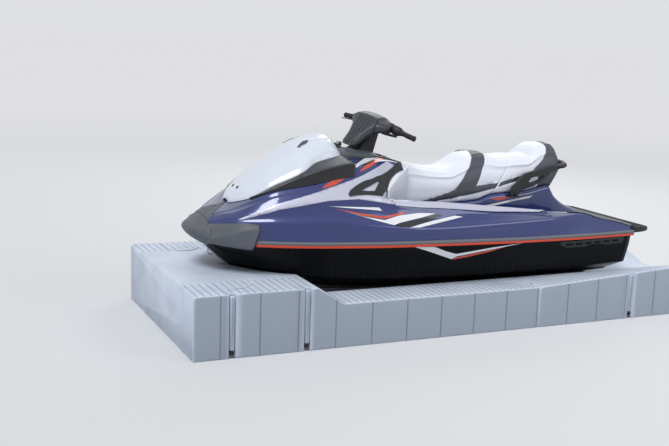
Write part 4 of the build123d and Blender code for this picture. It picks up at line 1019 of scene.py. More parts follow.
# Steering column and clamp: a steel tube that leans 30 degrees and carries the bar in a bolted clamp,
# both powder painted black, and mostly hidden by boot and cowl.
# Powder paint is black with a soft shine and an orange peel of about 3.8 mm.
painted_steel, tree, shader = finish("black_painted_steel", "#17181b", Roughness=0.38)
pressed(tree, shader, 260.0, 2.0, 0.0002, 0.3)
dress("steering_column", painted_steel)

# Handlebar: one steel tube 22 mm thick, bent back and down on either side of the clamp and painted
# black as the column is.


def pipe(name, points, radius, material, bend, squash=1.0):
    """Bent tube through points, its corners turned to the bend radius given in millimetres."""
    points = [Vector(p) for p in points]
    path = [points[0]]
    for before, corner, after in zip(points, points[1:], points[2:]):
        come, go = (before - corner), (after - corner)
        reach = min(bend / 1000, 0.45 * come.length, 0.45 * go.length)
        start, stop = corner + come.normalized() * reach, corner + go.normalized() * reach
        for t in np.linspace(0, 1, 9):
            path.append(start * (1 - t) ** 2 + corner * 2 * t * (1 - t) + stop * t * t)
    path.append(points[-1])
    rings, around = [], np.linspace(0, 2 * math.pi, 21)[:-1]
    across = (path[1] - path[0]).orthogonal().normalized()
    for i, place in enumerate(path):
        way = (path[min(i + 1, len(path) - 1)] - path[max(i - 1, 0)]).normalized()
        across = (across - way * across.dot(way)).normalized()
        third = way.cross(across)
        r = radius(i / (len(path) - 1)) if callable(radius) else radius
        wide, high = across * (r / 1000), third * (r / 1000 * squash)
        rings.append([place + wide * math.cos(a) + high * math.sin(a) for a in around])
    return loft(name, rings, material)


# Where the sloping part starts and ends, in the steering's own x and y, and how far it drops
bar_middle, bar_end, bar_drop = Vector((-12, 55)), Vector((-52, 362)), 16
bar_run = (bar_end - bar_middle).normalized()


def on_bar(side, distance, x=0, z=0):
    """Point on the bar's sloping part, this far in from its end."""
    place = bar_end - bar_run * distance
    return steered(place.x + x, side * place.y, z - bar_drop * (place.y - bar_middle.y) / 307)


bar_line = [on_bar(-1, 0), steered(-12, -55, 0), steered(-12, 55, 0), on_bar(1, 0)]
fit(pipe("handlebar_tube", bar_line, 11, painted_steel, bend=30), "steering", "handlebar", slot="steel")

# Grips: black rubber sleeves moulded with ribs 6 mm apart and a flange at either end, pushed over
# the bar's ends.
grips = []
for side in (1, -1):
    shape = [(-8, 8), (-8, 15), (-6, 18), (0, 19), (4, 18.5), (6, 16)]
    for rib in range(16):
        shape += [(9 + 6 * rib, 15.5), (10.5 + 6 * rib, 17), (12.5 + 6 * rib, 17), (14 + 6 * rib, 15.5)]
    shape += [(106, 16), (110, 21), (116, 21), (118, 17), (118, 11)]
    grips.append(turned("grip_sleeve", on_bar(side, 0), on_bar(side, 10), shape, rubber, turns=28))
fit(joined("grip_sleeves", grips), "steering", "grips", slot="rubber_black")

# Controls: black plastic switch housings inside the grips, with a lever in front of each and a
# few round buttons.
# Acetal is a clean, even red with a soft shine. Its fine skin is drawn as 1.4 mm.
button_red, tree, shader = finish("red_acetal", "#b3261e", Roughness=0.35)
pressed(tree, shader, 700.0, 2.0, 0.0002, 0.3)
housing = [(119, 10), (119, 21), (123, 25), (136, 27), (138, 30), (178, 32), (184, 30), (186, 12)]
button_shape = [(-3, 8), (4, 8), (6, 6), (6.5, 0.5)]
controls = []
for side in (1, -1):
    controls.append(turned("switch_housing", on_bar(side, 0), on_bar(side, 10), housing, black_plastic,
                           turns=24))
    for step, (along, x, z) in enumerate(((168, 22, 24), (146, 20, 22), (156, 30, -2))):
        base = on_bar(side, along, x, z)
        up = (base - on_bar(side, along)).normalized()
        look = button_red if step == 1 and side == -1 else rubber
        controls.append(turned("button", base - up * 0.006, base + up, button_shape, look, turns=16))
# Trim lever under the left housing and throttle lever before the right grip, thinner to their tips
trim_line = [steered(26, 84, -62), on_bar(1, 190, 14, -48), on_bar(1, 132, 8, -38)]
throttle_line = [on_bar(-1, 156, 16, -24), on_bar(-1, 132, 34, -34), on_bar(-1, 84, 36, -36),
                 on_bar(-1, 10, 28, -34)]
controls += [pipe("trim_lever", trim_line, lambda t: 15 - 4 * t, black_plastic, bend=30, squash=0.7),
             pipe("throttle_lever", throttle_line, lambda t: 6.5 - 2.2 * t, painted_steel, bend=16,
                  squash=0.7)]
fit(joined("handlebar_controls", controls), "steering", "controls", slot="rubber_black")

# Handlebar cowl: a charcoal textured ABS cover over the clamp, with an apron in front that hangs
# to the boot and a fairing along each arm.
cowl_rows = [
    # y, then x and z of front top, crown, rear top, rear low, inner, apron's back, apron's foot,
    # apron's tip and front middle
    (0, 90, 6, 34, 46, -44, 40, -50, -16, 24, -44, 66, -170, 96, -236, 138, -243, 112, -118),
    (34, 90, 5, 34, 46, -44, 40, -50, -16, 24, -44, 66, -170, 94, -236, 134, -242, 110, -118),
    (56, 89, 4, 33, 45, -44, 39, -50, -16, 22, -46, 56, -160, 84, -222, 112, -228, 104, -116),
    (76, 87, 3, 31, 43, -44, 38, -50, -16, 18, -50, 46, -118, 68, -158, 92, -166, 96, -88),
    (98, 84, 2, 28, 40, -44, 35, -49, -16, 10, -50, 30, -84, 48, -108, 76, -116, 86, -60),
    (120, 76, -2, 24, 36, -44, 31, -48, -18, 0, -46, 14, -64, 30, -84, 58, -88, 74, -46),
    (126, 70, -4, 22, 31, -42, 26, -46, -18, -2, -44, 10, -58, 26, -76, 52, -80, 68, -44),
    (150, 58, -8, 14, 27, -42, 22, -46, -18, -6, -42, 4, -52, 18, -64, 42, -68, 56, -38),
    (176, 48, -10, 8, 24, -42, 20, -48, -18, -12, -42, 0, -48, 12, -56, 34, -58, 46, -34),
]


def cowl_section(y):
    """Outline of the cowl this far from its middle."""
    v = [row_value(cowl_rows, abs(y), c) for c in range(1, 19)]
    pairs = list(zip(v[0::2], v[1::2]))
    ring = soften([pairs[8], *pairs, pairs[8]], (0, 7, 16, 8, 12, 14, 14, 5, 8, 0), arc=4, flat=3)
    return [steered(x, y, z) for x, z in ring[:-1]]


# Charcoal ABS with a satin grain: dark, with a broad dim highlight and tone that drifts over 80 mm.
# The grain of 0.8 mm is drawn as 2.1 mm.
cowl_abs, tree, shader = finish("charcoal_satin_abs", "#34373f", Roughness=0.42)
where, _ = pressed(tree, shader, 480.0, 3.0, 0.0003, 0.6)
cloud = node(tree, "ShaderNodeTexNoise", {"Vector": where, "Scale": 12.0, "Detail": 4.0}).outputs[0]
tone = node(tree, "ShaderNodeMix", {"Factor": cloud, 6: linear("#2f3239"), 7: linear("#3b3e47")},
            data_type="RGBA").outputs[2]
tree.links.new(tone, shader.inputs["Base Color"])
shells = [loft("cowl_shell", [cowl_section(y) for y in stations([(-112,), (112,)], 8)], cowl_abs)]
cowl_shape = surface_of(shells[0])
for side in (1, -1):
    shells.append(loft("cowl_seam", [cowl_section(side * y) for y in (110, 118)], rubber))
    arm_rings = [cowl_section(side * y) for y in stations([(114,), (176,)], 8)]
    shells.append(loft("arm_cover", arm_rings, cowl_abs))
    screw = steered(60, side * 138, -16)
    ahead = steered(61, side * 138, -16) - screw
    screw_shape = [(0, 11), (0.8, 11), (1, 8), (0.2, 0.5)]
    shells.append(turned("cover_screw", screw - ahead * 3, screw + ahead * 8, screw_shape, painted_steel,
                         turns=20))
# Two ribs run down the cowl's front from the crown to the tip
for side in (1, -1):
    for inner, outer in ((12, 20), (40, 52)):
        line = []
        for z in np.linspace(-14, -222, 14):
            y = side * (outer + (inner - outer) * (-z / 236))
            hit = cowl_shape.ray_cast(steered(260, y, z), -steer_x)[0]
            if hit:
                line.append(hit)
        if len(line) > 3:
            shells.append(pipe("cowl_rib", line, 4.5, cowl_abs, bend=10))
fit(joined("handlebar_cover", shells), "steering", "handlebar_cowl", slot="cowl_grey")

# Seats: two foam cushions under stretched marine vinyl, white with charcoal panels sewn in, each
# with a raised bolster. They are bolted down on the pedestal and meet at a leaning joint.
seat_front_rows = [
    # s, half breadth at the foot, side y and height, shoulder y and height, crown
    (1403, 200, 196, 740, 148, 866, 884), (1425, 206, 203, 745, 152, 868, 884),
    (1480, 210, 206, 745, 154, 860, 876), (1560, 212, 210, 740, 154, 847, 864),
    (1650, 212, 212, 735, 156, 830, 849), (1800, 212, 212, 738, 158, 816, 836),
    (1865, 212, 212, 756, 156, 837, 858), (1920, 212, 210, 770, 152, 866, 888),
    (1980, 212, 208, 782, 148, 897, 921), (2045, 212, 205, 790, 144, 915, 940),
    (2100, 211, 205, 790, 144, 914, 939), (2150, 210, 203, 788, 146, 898, 922),
    (2200, 208, 202, 788, 149, 884, 905), (2265, 207, 200, 790, 150, 888, 908),
    (2340, 205, 196, 795, 150, 894, 914),
]
seat_rear_rows = [
    (2110, 206, 202, 786, 149, 880, 905), (2220, 206, 199, 790, 149, 886, 906),
    (2360, 204, 195, 796, 150, 894, 914), (2425, 203, 193, 806, 148, 890, 912),
    (2465, 201, 191, 820, 142, 894, 917), (2503, 200, 189, 832, 138, 926, 950),
    (2545, 199, 187, 845, 134, 955, 981), (2600, 197, 185, 858, 130, 970, 996),
    (2660, 190, 182, 864, 130, 970, 996), (2690, 184, 176, 856, 126, 946, 972),
    (2705, 174, 164, 850, 118, 905, 928),
]


def seat_joint(h):
    """Distance behind the nose of the joint between the seats."""
    return 2118 + 0.78 * (h - 655)


def seat_ring(s, rows):
    """Cushion's outline at s. Its foot stays on the pedestal and climbs behind 2560, under the bolster."""
    foot, side_y, side_h, shoulder_y, shoulder_h, crown = (row_value(rows, s, c) for c in range(1, 7))
    base = max(deck_line(s, min(foot, 200)), 603 + max(0, s - 2560) / 145 * 205) + 3
    half = soften([(0, crown), (shoulder_y * 0.5, crown - 5), (shoulder_y + 8, shoulder_h + 4),
                   (side_y + 2, side_h), (foot, base + 12), (foot - 10, base), (0, base)],
                  (0, 60, 70, 60, 8, 6, 0), arc=5, flat=5, crowns=[0, -4, -5, -3, 0, 0])
    return np.array(whole(half))


def cushion(name, rows, ahead, material):
    """Closed cushion through its rows, with its end bent to the leaning joint."""
    low, high = rows[0][0], rows[-1][0]
    marks = np.linspace(low, high, int((high - low) / 9) + 1)
    table = np.array([seat_ring(s, rows) for s in marks])
    rings = []
    for t, guess in zip(np.linspace(0, 1, len(marks)), table):
        ring = []
        for j, (y, h) in enumerate(guess):
            joint = seat_joint(h) + (-1.5 if ahead else 2.5)
            s = low + (joint - low) * t if ahead else joint + (high - joint) * t
            y, h = (np.interp(s, marks, table[:, j, k]) for k in (0, 1))
            tuck = 5 * max(0, 1 - abs(s - joint) / 12)
            ring.append(at(s, y * (1 - tuck / 180), h - tuck * min(1, max(0, (h - 700) / 150))))
        rings.append(ring)
    return loft(name, rings, material)


# Sides of the charcoal panels, as lines of distance behind the nose and height
band_front = [(1828, 697), (1899, 778), (1957, 854), (1990, 908), (2008, 960)]
band_back = [(1999, 720), (2018, 752), (2052, 829), (2085, 890), (2100, 960)]
low_line = [(1640, 600), (1700, 628), (1922, 656), (2120, 694), (2328, 742), (2470, 782)]
high_line = [(1560, 625), (1699, 660), (1828, 697), (1999, 720), (2190, 737), (2398, 786), (2470, 812)]
back_line = [(2455, 770), (2470, 812), (2560, 886), (2598, 943), (2625, 1020)]


def line_at(line, value, by_height):
    """The line's other coordinate at a height or a distance."""
    k = 1 if by_height else 0
    spots = sorted(line, key=lambda p: p[k])
    return np.interp(value, [p[k] for p in spots], [p[1 - k] for p in spots])


def low_band(s, h):
    """Whether a place lies in the charcoal band along the seats' feet."""
    return line_at(low_line, s, False) < h < line_at(high_line, s, False)


def front_dark(s, h):
    """Front seat's charcoal: the low band, and the band that runs up over the bolster."""
    band = h > 690 and line_at(band_front, h, True) < s < line_at(band_back, h, True)
    return (h < 800 and s > 1560 and low_band(s, h)) or (band and h > line_at(low_line, s, False))


def rear_dark(s, h):
    """Rear seat's charcoal: the low band, its back, and a painted shadow behind the grab rail's feet."""
    back = h > 775 and s > line_at(back_line, h, True)
    return (seat_joint(h) + 16 < s < 2470 and low_band(s, h)) or back or (h < 780 and s > 2512)


def sewn(cushion, lines, dark, sweep):
    """Cut the cushion's skin along its panel lines, which sweep back over its top, give the dark
    panels their vinyl and sink the seams."""
    skin = bmesh.new()
    skin.from_mesh(cushion.data)
    edge, around = 150, 12
    for y in (edge / 1000, 0, -edge / 1000):
        cut_along(skin, (0, y, 0), (0, 1, 0))

    def flat(place):
        """Distance behind the nose and height, without the sweep."""
        y = abs(place.y) * 1000
        return nose_x * 1000 - place.x * 1000 - sweep * max(0, edge - y), place.z * 1000 - keel_z * 1000

    for line in lines:
        for (s1, h1), (s2, h2) in zip(line, line[1:]):
            ns, nh = h2 - h1, s1 - s2
            # Either side of the seat, then either half of its top
            for low, high, pull, y in ((edge / 1000, 9, 0, 0), (-9, -edge / 1000, 0, 0),
                                       (0, edge / 1000, sweep * ns, edge),
                                       (-edge / 1000, 0, -sweep * ns, -edge)):
                near = []
                for face in skin.faces:
                    middle = face.calc_center_median()
                    s, h = flat(middle)
                    if (low <= middle.y <= high and min(s1, s2) - around <= s <= max(s1, s2) + around
                            and min(h1, h2) - around <= h <= max(h1, h2) + around):
                        near.append(face)
                parts = {e for f in near for e in f.edges} | {v for f in near for v in f.verts} | set(near)
                cut_along(skin, at(s1, y, h1), Vector((-ns, pull, nh)).normalized(), list(parts), near=4e-4)
    cushion.data.materials.append(grey_vinyl)
    for face in skin.faces:
        s, h = flat(face.calc_center_median())
        face.material_index = int(dark(s, h))
        face.smooth = True
    skin.normal_update()
    seams = [(v, v.normal.copy()) for v in skin.verts if len({f.material_index for f in v.link_faces}) > 1]
    for vert, normal in seams:
        vert.co -= normal * 0.0016
    skin.to_mesh(cushion.data)
    skin.free()
    return cushion


# Marine vinyl is soft and half matt, with a pebble grain about 1.2 mm across, and it is pulled over
# the foam in slow swells of 110 mm, where its tone drifts too.
white_vinyl, tree, shader = finish("white_marine_vinyl", "#e8ecf8", Roughness=0.42, IOR=1.5)
grey_vinyl, grey_tree, grey_shader = finish("charcoal_marine_vinyl", "#484a54", Roughness=0.46, IOR=1.5)
for tree, shader, low, high in ((tree, shader, "#e3e8f5", "#eef1fb"),
                                (grey_tree, grey_shader, "#43454f", "#50525d")):
    where = node(tree, "ShaderNodeTexCoord").outputs["Object"]
    grain = node(tree, "ShaderNodeTexVoronoi", {"Vector": where, "Scale": 1 / 0.0012},
                 feature="DISTANCE_TO_EDGE").outputs["Distance"]
    pull = node(tree, "ShaderNodeTexNoise", {"Vector": where, "Scale": 9.0, "Detail": 3.0}).outputs[0]
    fine = node(tree, "ShaderNodeBump", {"Height": grain, "Distance": 0.0002, "Strength": 0.5}).outputs[0]
    press = node(tree, "ShaderNodeBump", {"Height": pull, "Distance": 0.004, "Strength": 0.25,
                                          "Normal": fine}).outputs[0]
    tree.links.new(press, shader.inputs["Normal"])
    tone = node(tree, "ShaderNodeMix", {"Factor": pull, 6: linear(low), 7: linear(high)},
                data_type="RGBA").outputs[2]
    tree.links.new(tone, shader.inputs["Base Color"])
joint_line = [(seat_joint(h) + 16, h) for h in (660, 800)]
# The last two lines bound the painted shadow under the grab rail, done in the charcoal vinyl.
rear_lines = [low_line, high_line, back_line, joint_line, [(2512, 640), (2512, 790)],
              [(2440, 775), (2530, 775)]]
front_seat = sewn(cushion("seat_front_cushion", seat_front_rows, True, white_vinyl),
                  [band_front, band_back, low_line, high_line], front_dark, sweep=0.25)
rear_seat = sewn(cushion("seat_rear_cushion", seat_rear_rows, False, white_vinyl), rear_lines, rear_dark,
                 sweep=0)
fit(front_seat, ROOT, "seat_front", slot="seat_vinyl")
fit(rear_seat, ROOT, "seat_rear", slot="seat_vinyl")

# Grab rail: moulded black nylon handle on both sides of the rear seat, joined by a bar behind it,
# with a finger hole in each side and feet on the pedestal.
# Glass filled nylon is black with a dry grain, polished by hands in patches of 55 mm. The grain of
# 0.6 mm is drawn as 2.2 mm.
moulded_nylon, tree, shader = finish("textured_black_nylon", "#1b1c20", Roughness=0.45)
where, _ = pressed(tree, shader, 450.0, 3.0, 0.0004, 0.6)
worn = node(tree, "ShaderNodeTexNoise", {"Vector": where, "Scale": 18.0, "Detail": 4.0}).outputs[0]
polished = node(tree, "ShaderNodeMapRange", {0: worn, 1: 0.3, 2: 0.7, 3: 0.38, 4: 0.54}).outputs[0]
tree.links.new(polished, shader.inputs["Roughness"])


def frame_of(name, outer, holes, thick, material, round_by):
    """Flat frame with holes, from its corners on one face, thickened away from them and rounded."""
    sheet = bmesh.new()
    rims = []
    for loop in [outer, *holes]:
        verts = [sheet.verts.new(p) for p in loop]
        rims += [sheet.edges.new((verts[i], verts[(i + 1) % len(verts)])) for i in range(len(verts))]
    bmesh.ops.triangle_fill(sheet, use_beauty=True, use_dissolve=False, edges=rims)
    made = bmesh.ops.extrude_face_region(sheet, geom=sheet.faces[:])
    for item in made["geom"]:
        if isinstance(item, bmesh.types.BMVert):
            item.co += thick
    bmesh.ops.recalc_face_normals(sheet, faces=sheet.faces)
    bmesh.ops.dissolve_limit(sheet, angle_limit=0.02, verts=sheet.verts, edges=sheet.edges)
    made = object_of(name, sheet, material)
    made.data.shade_smooth()
    edges = made.modifiers.new("edges", "BEVEL")
    edges.width, edges.segments, edges.limit_method, edges.angle_limit = round_by / 1000, 4, "ANGLE", 0.6
    made.modifiers.new("shade", "WEIGHTED_NORMAL").keep_sharp = True
    return made


def settled(pieces):
    """The pieces with their modifiers applied."""
    for piece in pieces:
        bpy.context.view_layer.objects.active = piece
        for modifier in list(piece.modifiers):
            bpy.ops.object.modifier_apply(modifier=modifier.name)
    return pieces


# Handle's outline and finger hole, as distance behind the nose and height
rail_side = [(2252, 664), (2258, 684), (2268, 706), (2300, 735), (2340, 783), (2364, 800), (2431, 818),
             (2568, 843), (2668, 860), (2692, 861), (2692, 834), (2660, 831), (2584, 808), (2533, 764),
             (2440, 712), (2340, 686), (2326, 676), (2318, 664)]
rail_hole = [(2396, 748), (2416, 768), (2446, 777), (2516, 786), (2520, 780), (2492, 758), (2440, 738),
             (2404, 738)]
handles = []
for side in (1, -1):
    outer, hole = ([at(s, side * 257, h) for s, h in line] for line in (rail_side, rail_hole))
    handles.append(frame_of("grab_handle", outer, [hole], Vector((0, -side * 0.026, 0)), moulded_nylon, 8))
    for s in (2268, 2304):
        foot = [at(s + a, side * 256, h) for a, h in ((-14, 640), (14, 640), (14, 672), (-14, 672))]
        handles.append(frame_of("grab_foot", foot, [], Vector((0, -side * 0.030, 0)), moulded_nylon, 4))
bow_line = [at(2640, 244, 842), at(2706, 244, 849), at(2752, 150, 858)]
bow_line += [Vector((p.x, -p.y, p.z)) for p in reversed(bow_line)]
handles.append(pipe("grab_bow", bow_line, 16, moulded_nylon, bend=40))
handles = settled(handles)
fit(joined("grab_handles", handles), ROOT, "grab_rail", slot="trim_black")

# Knee trims: black nylon frames clipped over the side panels beside each knee, with a tail that
# runs forward along the shroud's edge to the dash.
# Outlines as distance behind the nose and y, from above
trim_edge = [(922, 449), (935, 438), (972, 425), (1109, 381), (1180, 350), (1252, 313), (1330, 265),
             (1394, 218), (1430, 230), (1420, 248), (1376, 276), (1309, 316), (1262, 354), (1232, 384),
             (1200, 418), (1148, 464), (1030, 460), (926, 458)]
trim_hole = [(1010, 444), (1090, 414), (1160, 382), (1164, 386), (1132, 416), (1104, 443), (1060, 446)]
tail_line = [(1238, 142), (1262, 128), (1300, 134), (1352, 166), (1398, 206), (1424, 226), (1400, 236),
             (1352, 206), (1300, 170), (1262, 152)]
panel_shape = surface_of(deck, blade)
trims = []
for side in (1, -1):
    trims.append(lay_on("knee_frame", panel_shape, trim_edge, moulded_nylon, lift=9, step=18, thick=11,
                        above=True, side=side, holes=[trim_hole]))
    trims.append(lay_on("knee_tail", deck_shape, tail_line, moulded_nylon, lift=7, step=12, thick=9,
                        above=True, side=side))
for piece in trims:
    edges = piece.modifiers.new("edges", "BEVEL")
    edges.width, edges.segments, edges.limit_method, edges.angle_limit = 0.0025, 3, "ANGLE", 0.9
fit(joined("knee_trims", settled(trims)), ROOT, "knee_trim_left", "knee_trim_right", slot="trim_black")

# Knee pads: white vinyl over thin foam on the shroud's inner walls, between the knee trims and the
# front seat's sides.
pad_rows = [
    # s, y and height of the foot, y and height of the top
    (1212, 420, 470, 417, 748), (1250, 396, 470, 386, 774), (1320, 340, 470, 330, 815),
    (1398, 274, 470, 268, 850), (1424, 250, 480, 250, 864), (1440, 238, 500, 236, 868),
    (1452, 224, 560, 216, 866), (1460, 214, 605, 210, 862),
]
pads = []
for side in (1, -1):
    rings = []
    for s in stations(pad_rows, 12):
        foot_y, foot_h, top_y, top_h = (row_value(pad_rows, s, c) for c in range(1, 5))
        lap = top_y - (24 if s < 1390 else 8)
        lap_h = max(deck_line(s, lap), top_h - 4)
        ring = soften([(foot_y - 4, foot_h), (foot_y + 5, foot_h), (top_y + 7, top_h - 6), (lap, lap_h + 8),
                       (lap - 2, lap_h - 3), (top_y - 8, top_h - 12)],
                      (0, 6, 12, 5, 0, 0), arc=4, flat=6, crowns=[0, -5, 0, 0, 0])
        rings.append([at(s, side * y, h) for y, h in ring])
    pads.append(loft("knee_pad", rings, white_vinyl))
knee_pads = joined("knee_pads", pads)
fit(knee_pads, ROOT, slot="seat_vinyl")

# Deck mats: grey EVA foam glued down in both footwells and over the stern deck, cut with grooves
# 25 mm apart.
# EVA foam is dry and matt. Its cells of 0.5 mm are drawn as 2.4 mm, and the sun has bleached it in
# patches of 200 mm.
eva_foam, tree, shader = finish("grey_eva_foam", "#71757c", Roughness=0.85)
where = node(tree, "ShaderNodeTexCoord").outputs["Object"]
cells = node(tree, "ShaderNodeTexVoronoi", {"Vector": where, "Scale": 420.0}).outputs["Distance"]
press = node(tree, "ShaderNodeBump", {"Height": cells, "Distance": 0.0005, "Strength": 0.6}).outputs[0]
tree.links.new(press, shader.inputs["Normal"])
bleach = node(tree, "ShaderNodeTexNoise", {"Vector": where, "Scale": 5.0, "Detail": 4.0}).outputs[0]
tone = node(tree, "ShaderNodeMix", {"Factor": bleach, 6: linear("#6a6e75"), 7: linear("#7b7f86")},
            data_type="RGBA").outputs[2]
tree.links.new(tone, shader.inputs["Base Color"])


# Height of the floor under a mat, its thickness up to the grooves, and the grooves' depth and pitch
mat_foot, mat_core, groove_deep, groove_apart = 446.4, 3.0, 3.0, 25


def mat(name, outline):
    """Mat cut to an outline from above, its grooves sunk between strips."""
    sheet = bmesh.new()
    sheet.faces.new([sheet.verts.new(at(s, y, mat_foot + mat_core)) for s, y in outline])
    ys = [y for s, y in outline]
    for y in np.arange(math.ceil(min(ys) / groove_apart) * groove_apart, max(ys), groove_apart):
        for off in (-1.8, 1.8):
            cut_along(sheet, (0, (y + off) / 1000, 0), (0, 1, 0))
    strips = []
    for face in sheet.faces:
        y = face.calc_center_median().y * 1000
        if abs((y + groove_apart / 2) % groove_apart - groove_apart / 2) > 2.2:
            strips.append(face)
    low = at(0, 0, mat_foot + mat_core).z + 0.0001
    for face in bmesh.ops.extrude_discrete_faces(sheet, faces=strips)["faces"]:
        for vert in face.verts:
            vert.co.z += groove_deep / 1000
    rim = [e for e in sheet.edges if e.is_boundary and all(v.co.z < low for v in e.verts)]
    for item in bmesh.ops.extrude_edge_only(sheet, edges=rim)["geom"]:
        if isinstance(item, bmesh.types.BMVert):
            item.co.z -= mat_core / 1000
    bmesh.ops.recalc_face_normals(sheet, faces=sheet.faces)
    made = mesh_from(name, sheet, eva_foam)
    made.data.shade_flat()
    return made


well = [(1275, 388), (1300, 366), (1400, 284), (1440, 244), (2640, 244), (2860, 214), (2984, 212),
        (2984, 394), (2860, 394), (2640, 406), (1275, 426)]
mats = [mat("footwell_mat", [(s, side * y) for s, y in well]) for side in (1, -1)]
mats.append(mat("stern_mat", [(2992, -408), (3148, -408), (3148, 408), (2992, 408)]))
fit(joined("deck_mat_set", mats), ROOT, "deck_mats", slot="mat_foam")

# Coaming trims: charcoal rubber mouldings bonded over the deck's shoulders, either side of the stern
# mat, so that a foot doesn't slip there. They are of the rub rail's rubber.
trim_outline = [(2590, 474), (2700, 500), (2800, 503), (2880, 496), (3000, 484), (3130, 476), (3148, 474),
                (3148, 418), (2984, 420), (2860, 424), (2650, 444), (2590, 452)]
coaming = both("coaming_trim", deck_shape, trim_outline, rail_rubber, lift=3.0, thick=5.0, step=16,
               above=True)
fit(coaming, ROOT, slot="mat_foam")

# Stern platform: a black rubber ledge moulded over a bracket behind the deck, to climb aboard by.
# It is ribbed on top every 22 mm and rounded along its edge.
# Distance behind the nose, half breadth, height of the top
platform_rows = [(3150.3, 490, 444), (3170, 488, 434), (3200, 484, 430), (3262, 470, 426), (3300, 453, 422),
                 (3330, 432, 418), (3346, 404, 412), (3350, 388, 408)]


def platform_ring(s):
    """Outline of the ledge at s."""
    half, top = row_value(platform_rows, s, 1), row_value(platform_rows, s, 2)
    ring = soften([(0, top), (half, top), (half, 388), (0, 388)], (0, 12, 8, 0), arc=5, flat=8)
    return [at(s, y, h) for y, h in whole(ring)]


ledge = loft("stern_ledge", [platform_ring(s) for s in stations(platform_rows, 10)], rubber)
ribs = []
for step in range(7):
    s = 3168 + 22 * step
    half = row_value(platform_rows, s, 1) - 30
    h = row_value(platform_rows, s, 2) - 0.5
    corners = [(-4, -half), (4, -half), (4, half), (-4, half)]
    ribs.append(plate("ledge_rib", corners, lambda a, b, up, s=s, h=h: at(s + a, b, h + up), 2.5, rubber,
                      0.8))
fit(joined("stern_ledge", [ledge, *settled(ribs)]), ROOT, "stern_platform", slot="rubber_black")

# Louvres, eyes, step, engine and pump: bought pieces and castings bolted to hull and stern. Their
# shapes come from the solids as they are: black ABS, stainless steel, cast alloy and painted steel.
# Satin black ABS is dark with a broad dim highlight. Its texture of 0.4 mm is drawn as 2 mm.
satin_black, tree, shader = finish("satin_black_abs", "#141518", Roughness=0.4)
pressed(tree, shader, 500.0, 2.0, 0.0003, 0.5)
# Polished stainless steel mirrors the studio, clouded by salt marks of 11 mm.
stainless, tree, shader = finish("polished_stainless_steel", "#b9bbbf", Metallic=1.0, Roughness=0.22)
where = node(tree, "ShaderNodeTexCoord").outputs["Object"]
smear = node(tree, "ShaderNodeTexNoise", {"Vector": where, "Scale": 90.0, "Detail": 5.0}).outputs[0]
clouded = node(tree, "ShaderNodeMapRange", {0: smear, 1: 0.3, 2: 0.7, 3: 0.14, 4: 0.34}).outputs[0]
tree.links.new(clouded, shader.inputs["Roughness"])
# Cast aluminium is dull silver with the sand mould's grain, paler on its peaks. The grain of 1 mm is
# drawn as 2.9 mm.
cast_alloy, tree, shader = finish("cast_aluminium", "#9b9da0", Metallic=1.0, Roughness=0.45)
_, sand = pressed(tree, shader, 350.0, 3.0, 0.0005, 0.6)
tone = node(tree, "ShaderNodeMix", {"Factor": sand, 6: linear("#8b8d90"), 7: linear("#a9abae")},
            data_type="RGBA").outputs[2]
tree.links.new(tone, shader.inputs["Base Color"])
for material, names in (
    (satin_black, ("side_louvres", "steering_nozzle", "reverse_bucket")),
    (stainless, ("bow_eye", "stern_eyes", "intake_grate", "impeller")),
    (cast_alloy, ("ride_plate", "jet_pump", "step_brackets", "engine")),
    (painted_steel, ("boarding_step",)),
):
    for name in names:
        dress(name, material)

# Stripes: plain wedges and stripes of cut vinyl film stuck on deck and hull, in white, red orange
# and black, with no words or marks.
# Printed film under a clear laminate is even in colour and glossy, and follows the gelcoat with
# faint ripples of 33 mm.
films = {}
for name, colour in (("white_film", "#e9ebef"), ("red_orange_film", "#cf4a2a"), ("black_film", "#1a1b1f")):
    film, tree, shader = finish(name, colour, Roughness=0.3, IOR=1.5, Coat_Weight=0.4, Coat_Roughness=0.05)
    pressed(tree, shader, 30.0, 2.0, 0.0006, 0.1)
    films[name] = film
# Film, then its corners as distance behind the nose and height, seen from the side
side_stripes = [
    ("white_film", [(783, 667), (1116, 652), (1136, 631), (1040, 642), (930, 652)]),
    ("red_orange_film", [(821, 653), (980, 622), (1140, 596), (1300, 624), (1272, 606), (1142, 583),
                         (1000, 606)]),
    ("white_film", [(879, 637), (1010, 600), (1143, 576), (1256, 600), (1390, 608), (1515, 601),
                    (1380, 576), (1242, 558), (1195, 547), (1100, 572), (980, 607)]),
    ("black_film", [(1197, 543), (1242, 553), (1380, 571), (1520, 597), (1567, 589), (1440, 556),
                    (1300, 532), (1230, 535)]),
    ("white_film", [(1300, 529), (1480, 558), (1652, 582), (1712, 573), (1540, 548), (1371, 526)]),
    ("white_film", [(1342, 402), (1484, 396), (1570, 362), (1655, 336), (1920, 368), (2160, 388),
                    (1960, 360), (1665, 318), (1632, 300), (1560, 326), (1450, 366)]),
    ("red_orange_film", [(1668, 314), (1840, 338), (2037, 372), (1900, 336), (1740, 308), (1645, 296),
                         (1640, 300)]),
    ("red_orange_film", [(764, 768), (792, 792), (836, 812), (900, 842), (960, 866), (1000, 872),
                         (956, 846), (905, 816), (851, 789)]),
]
# The same on the pedestal, which lies inside the shoulder
pedestal_stripes = [
    ("red_orange_film", [(2108, 631), (2240, 638), (2368, 646), (2280, 634), (2171, 613)]),
    ("white_film", [(2065, 586), (2104, 590), (2300, 620), (2459, 641), (2431, 625), (2260, 600),
                    (2132, 578)]),
]
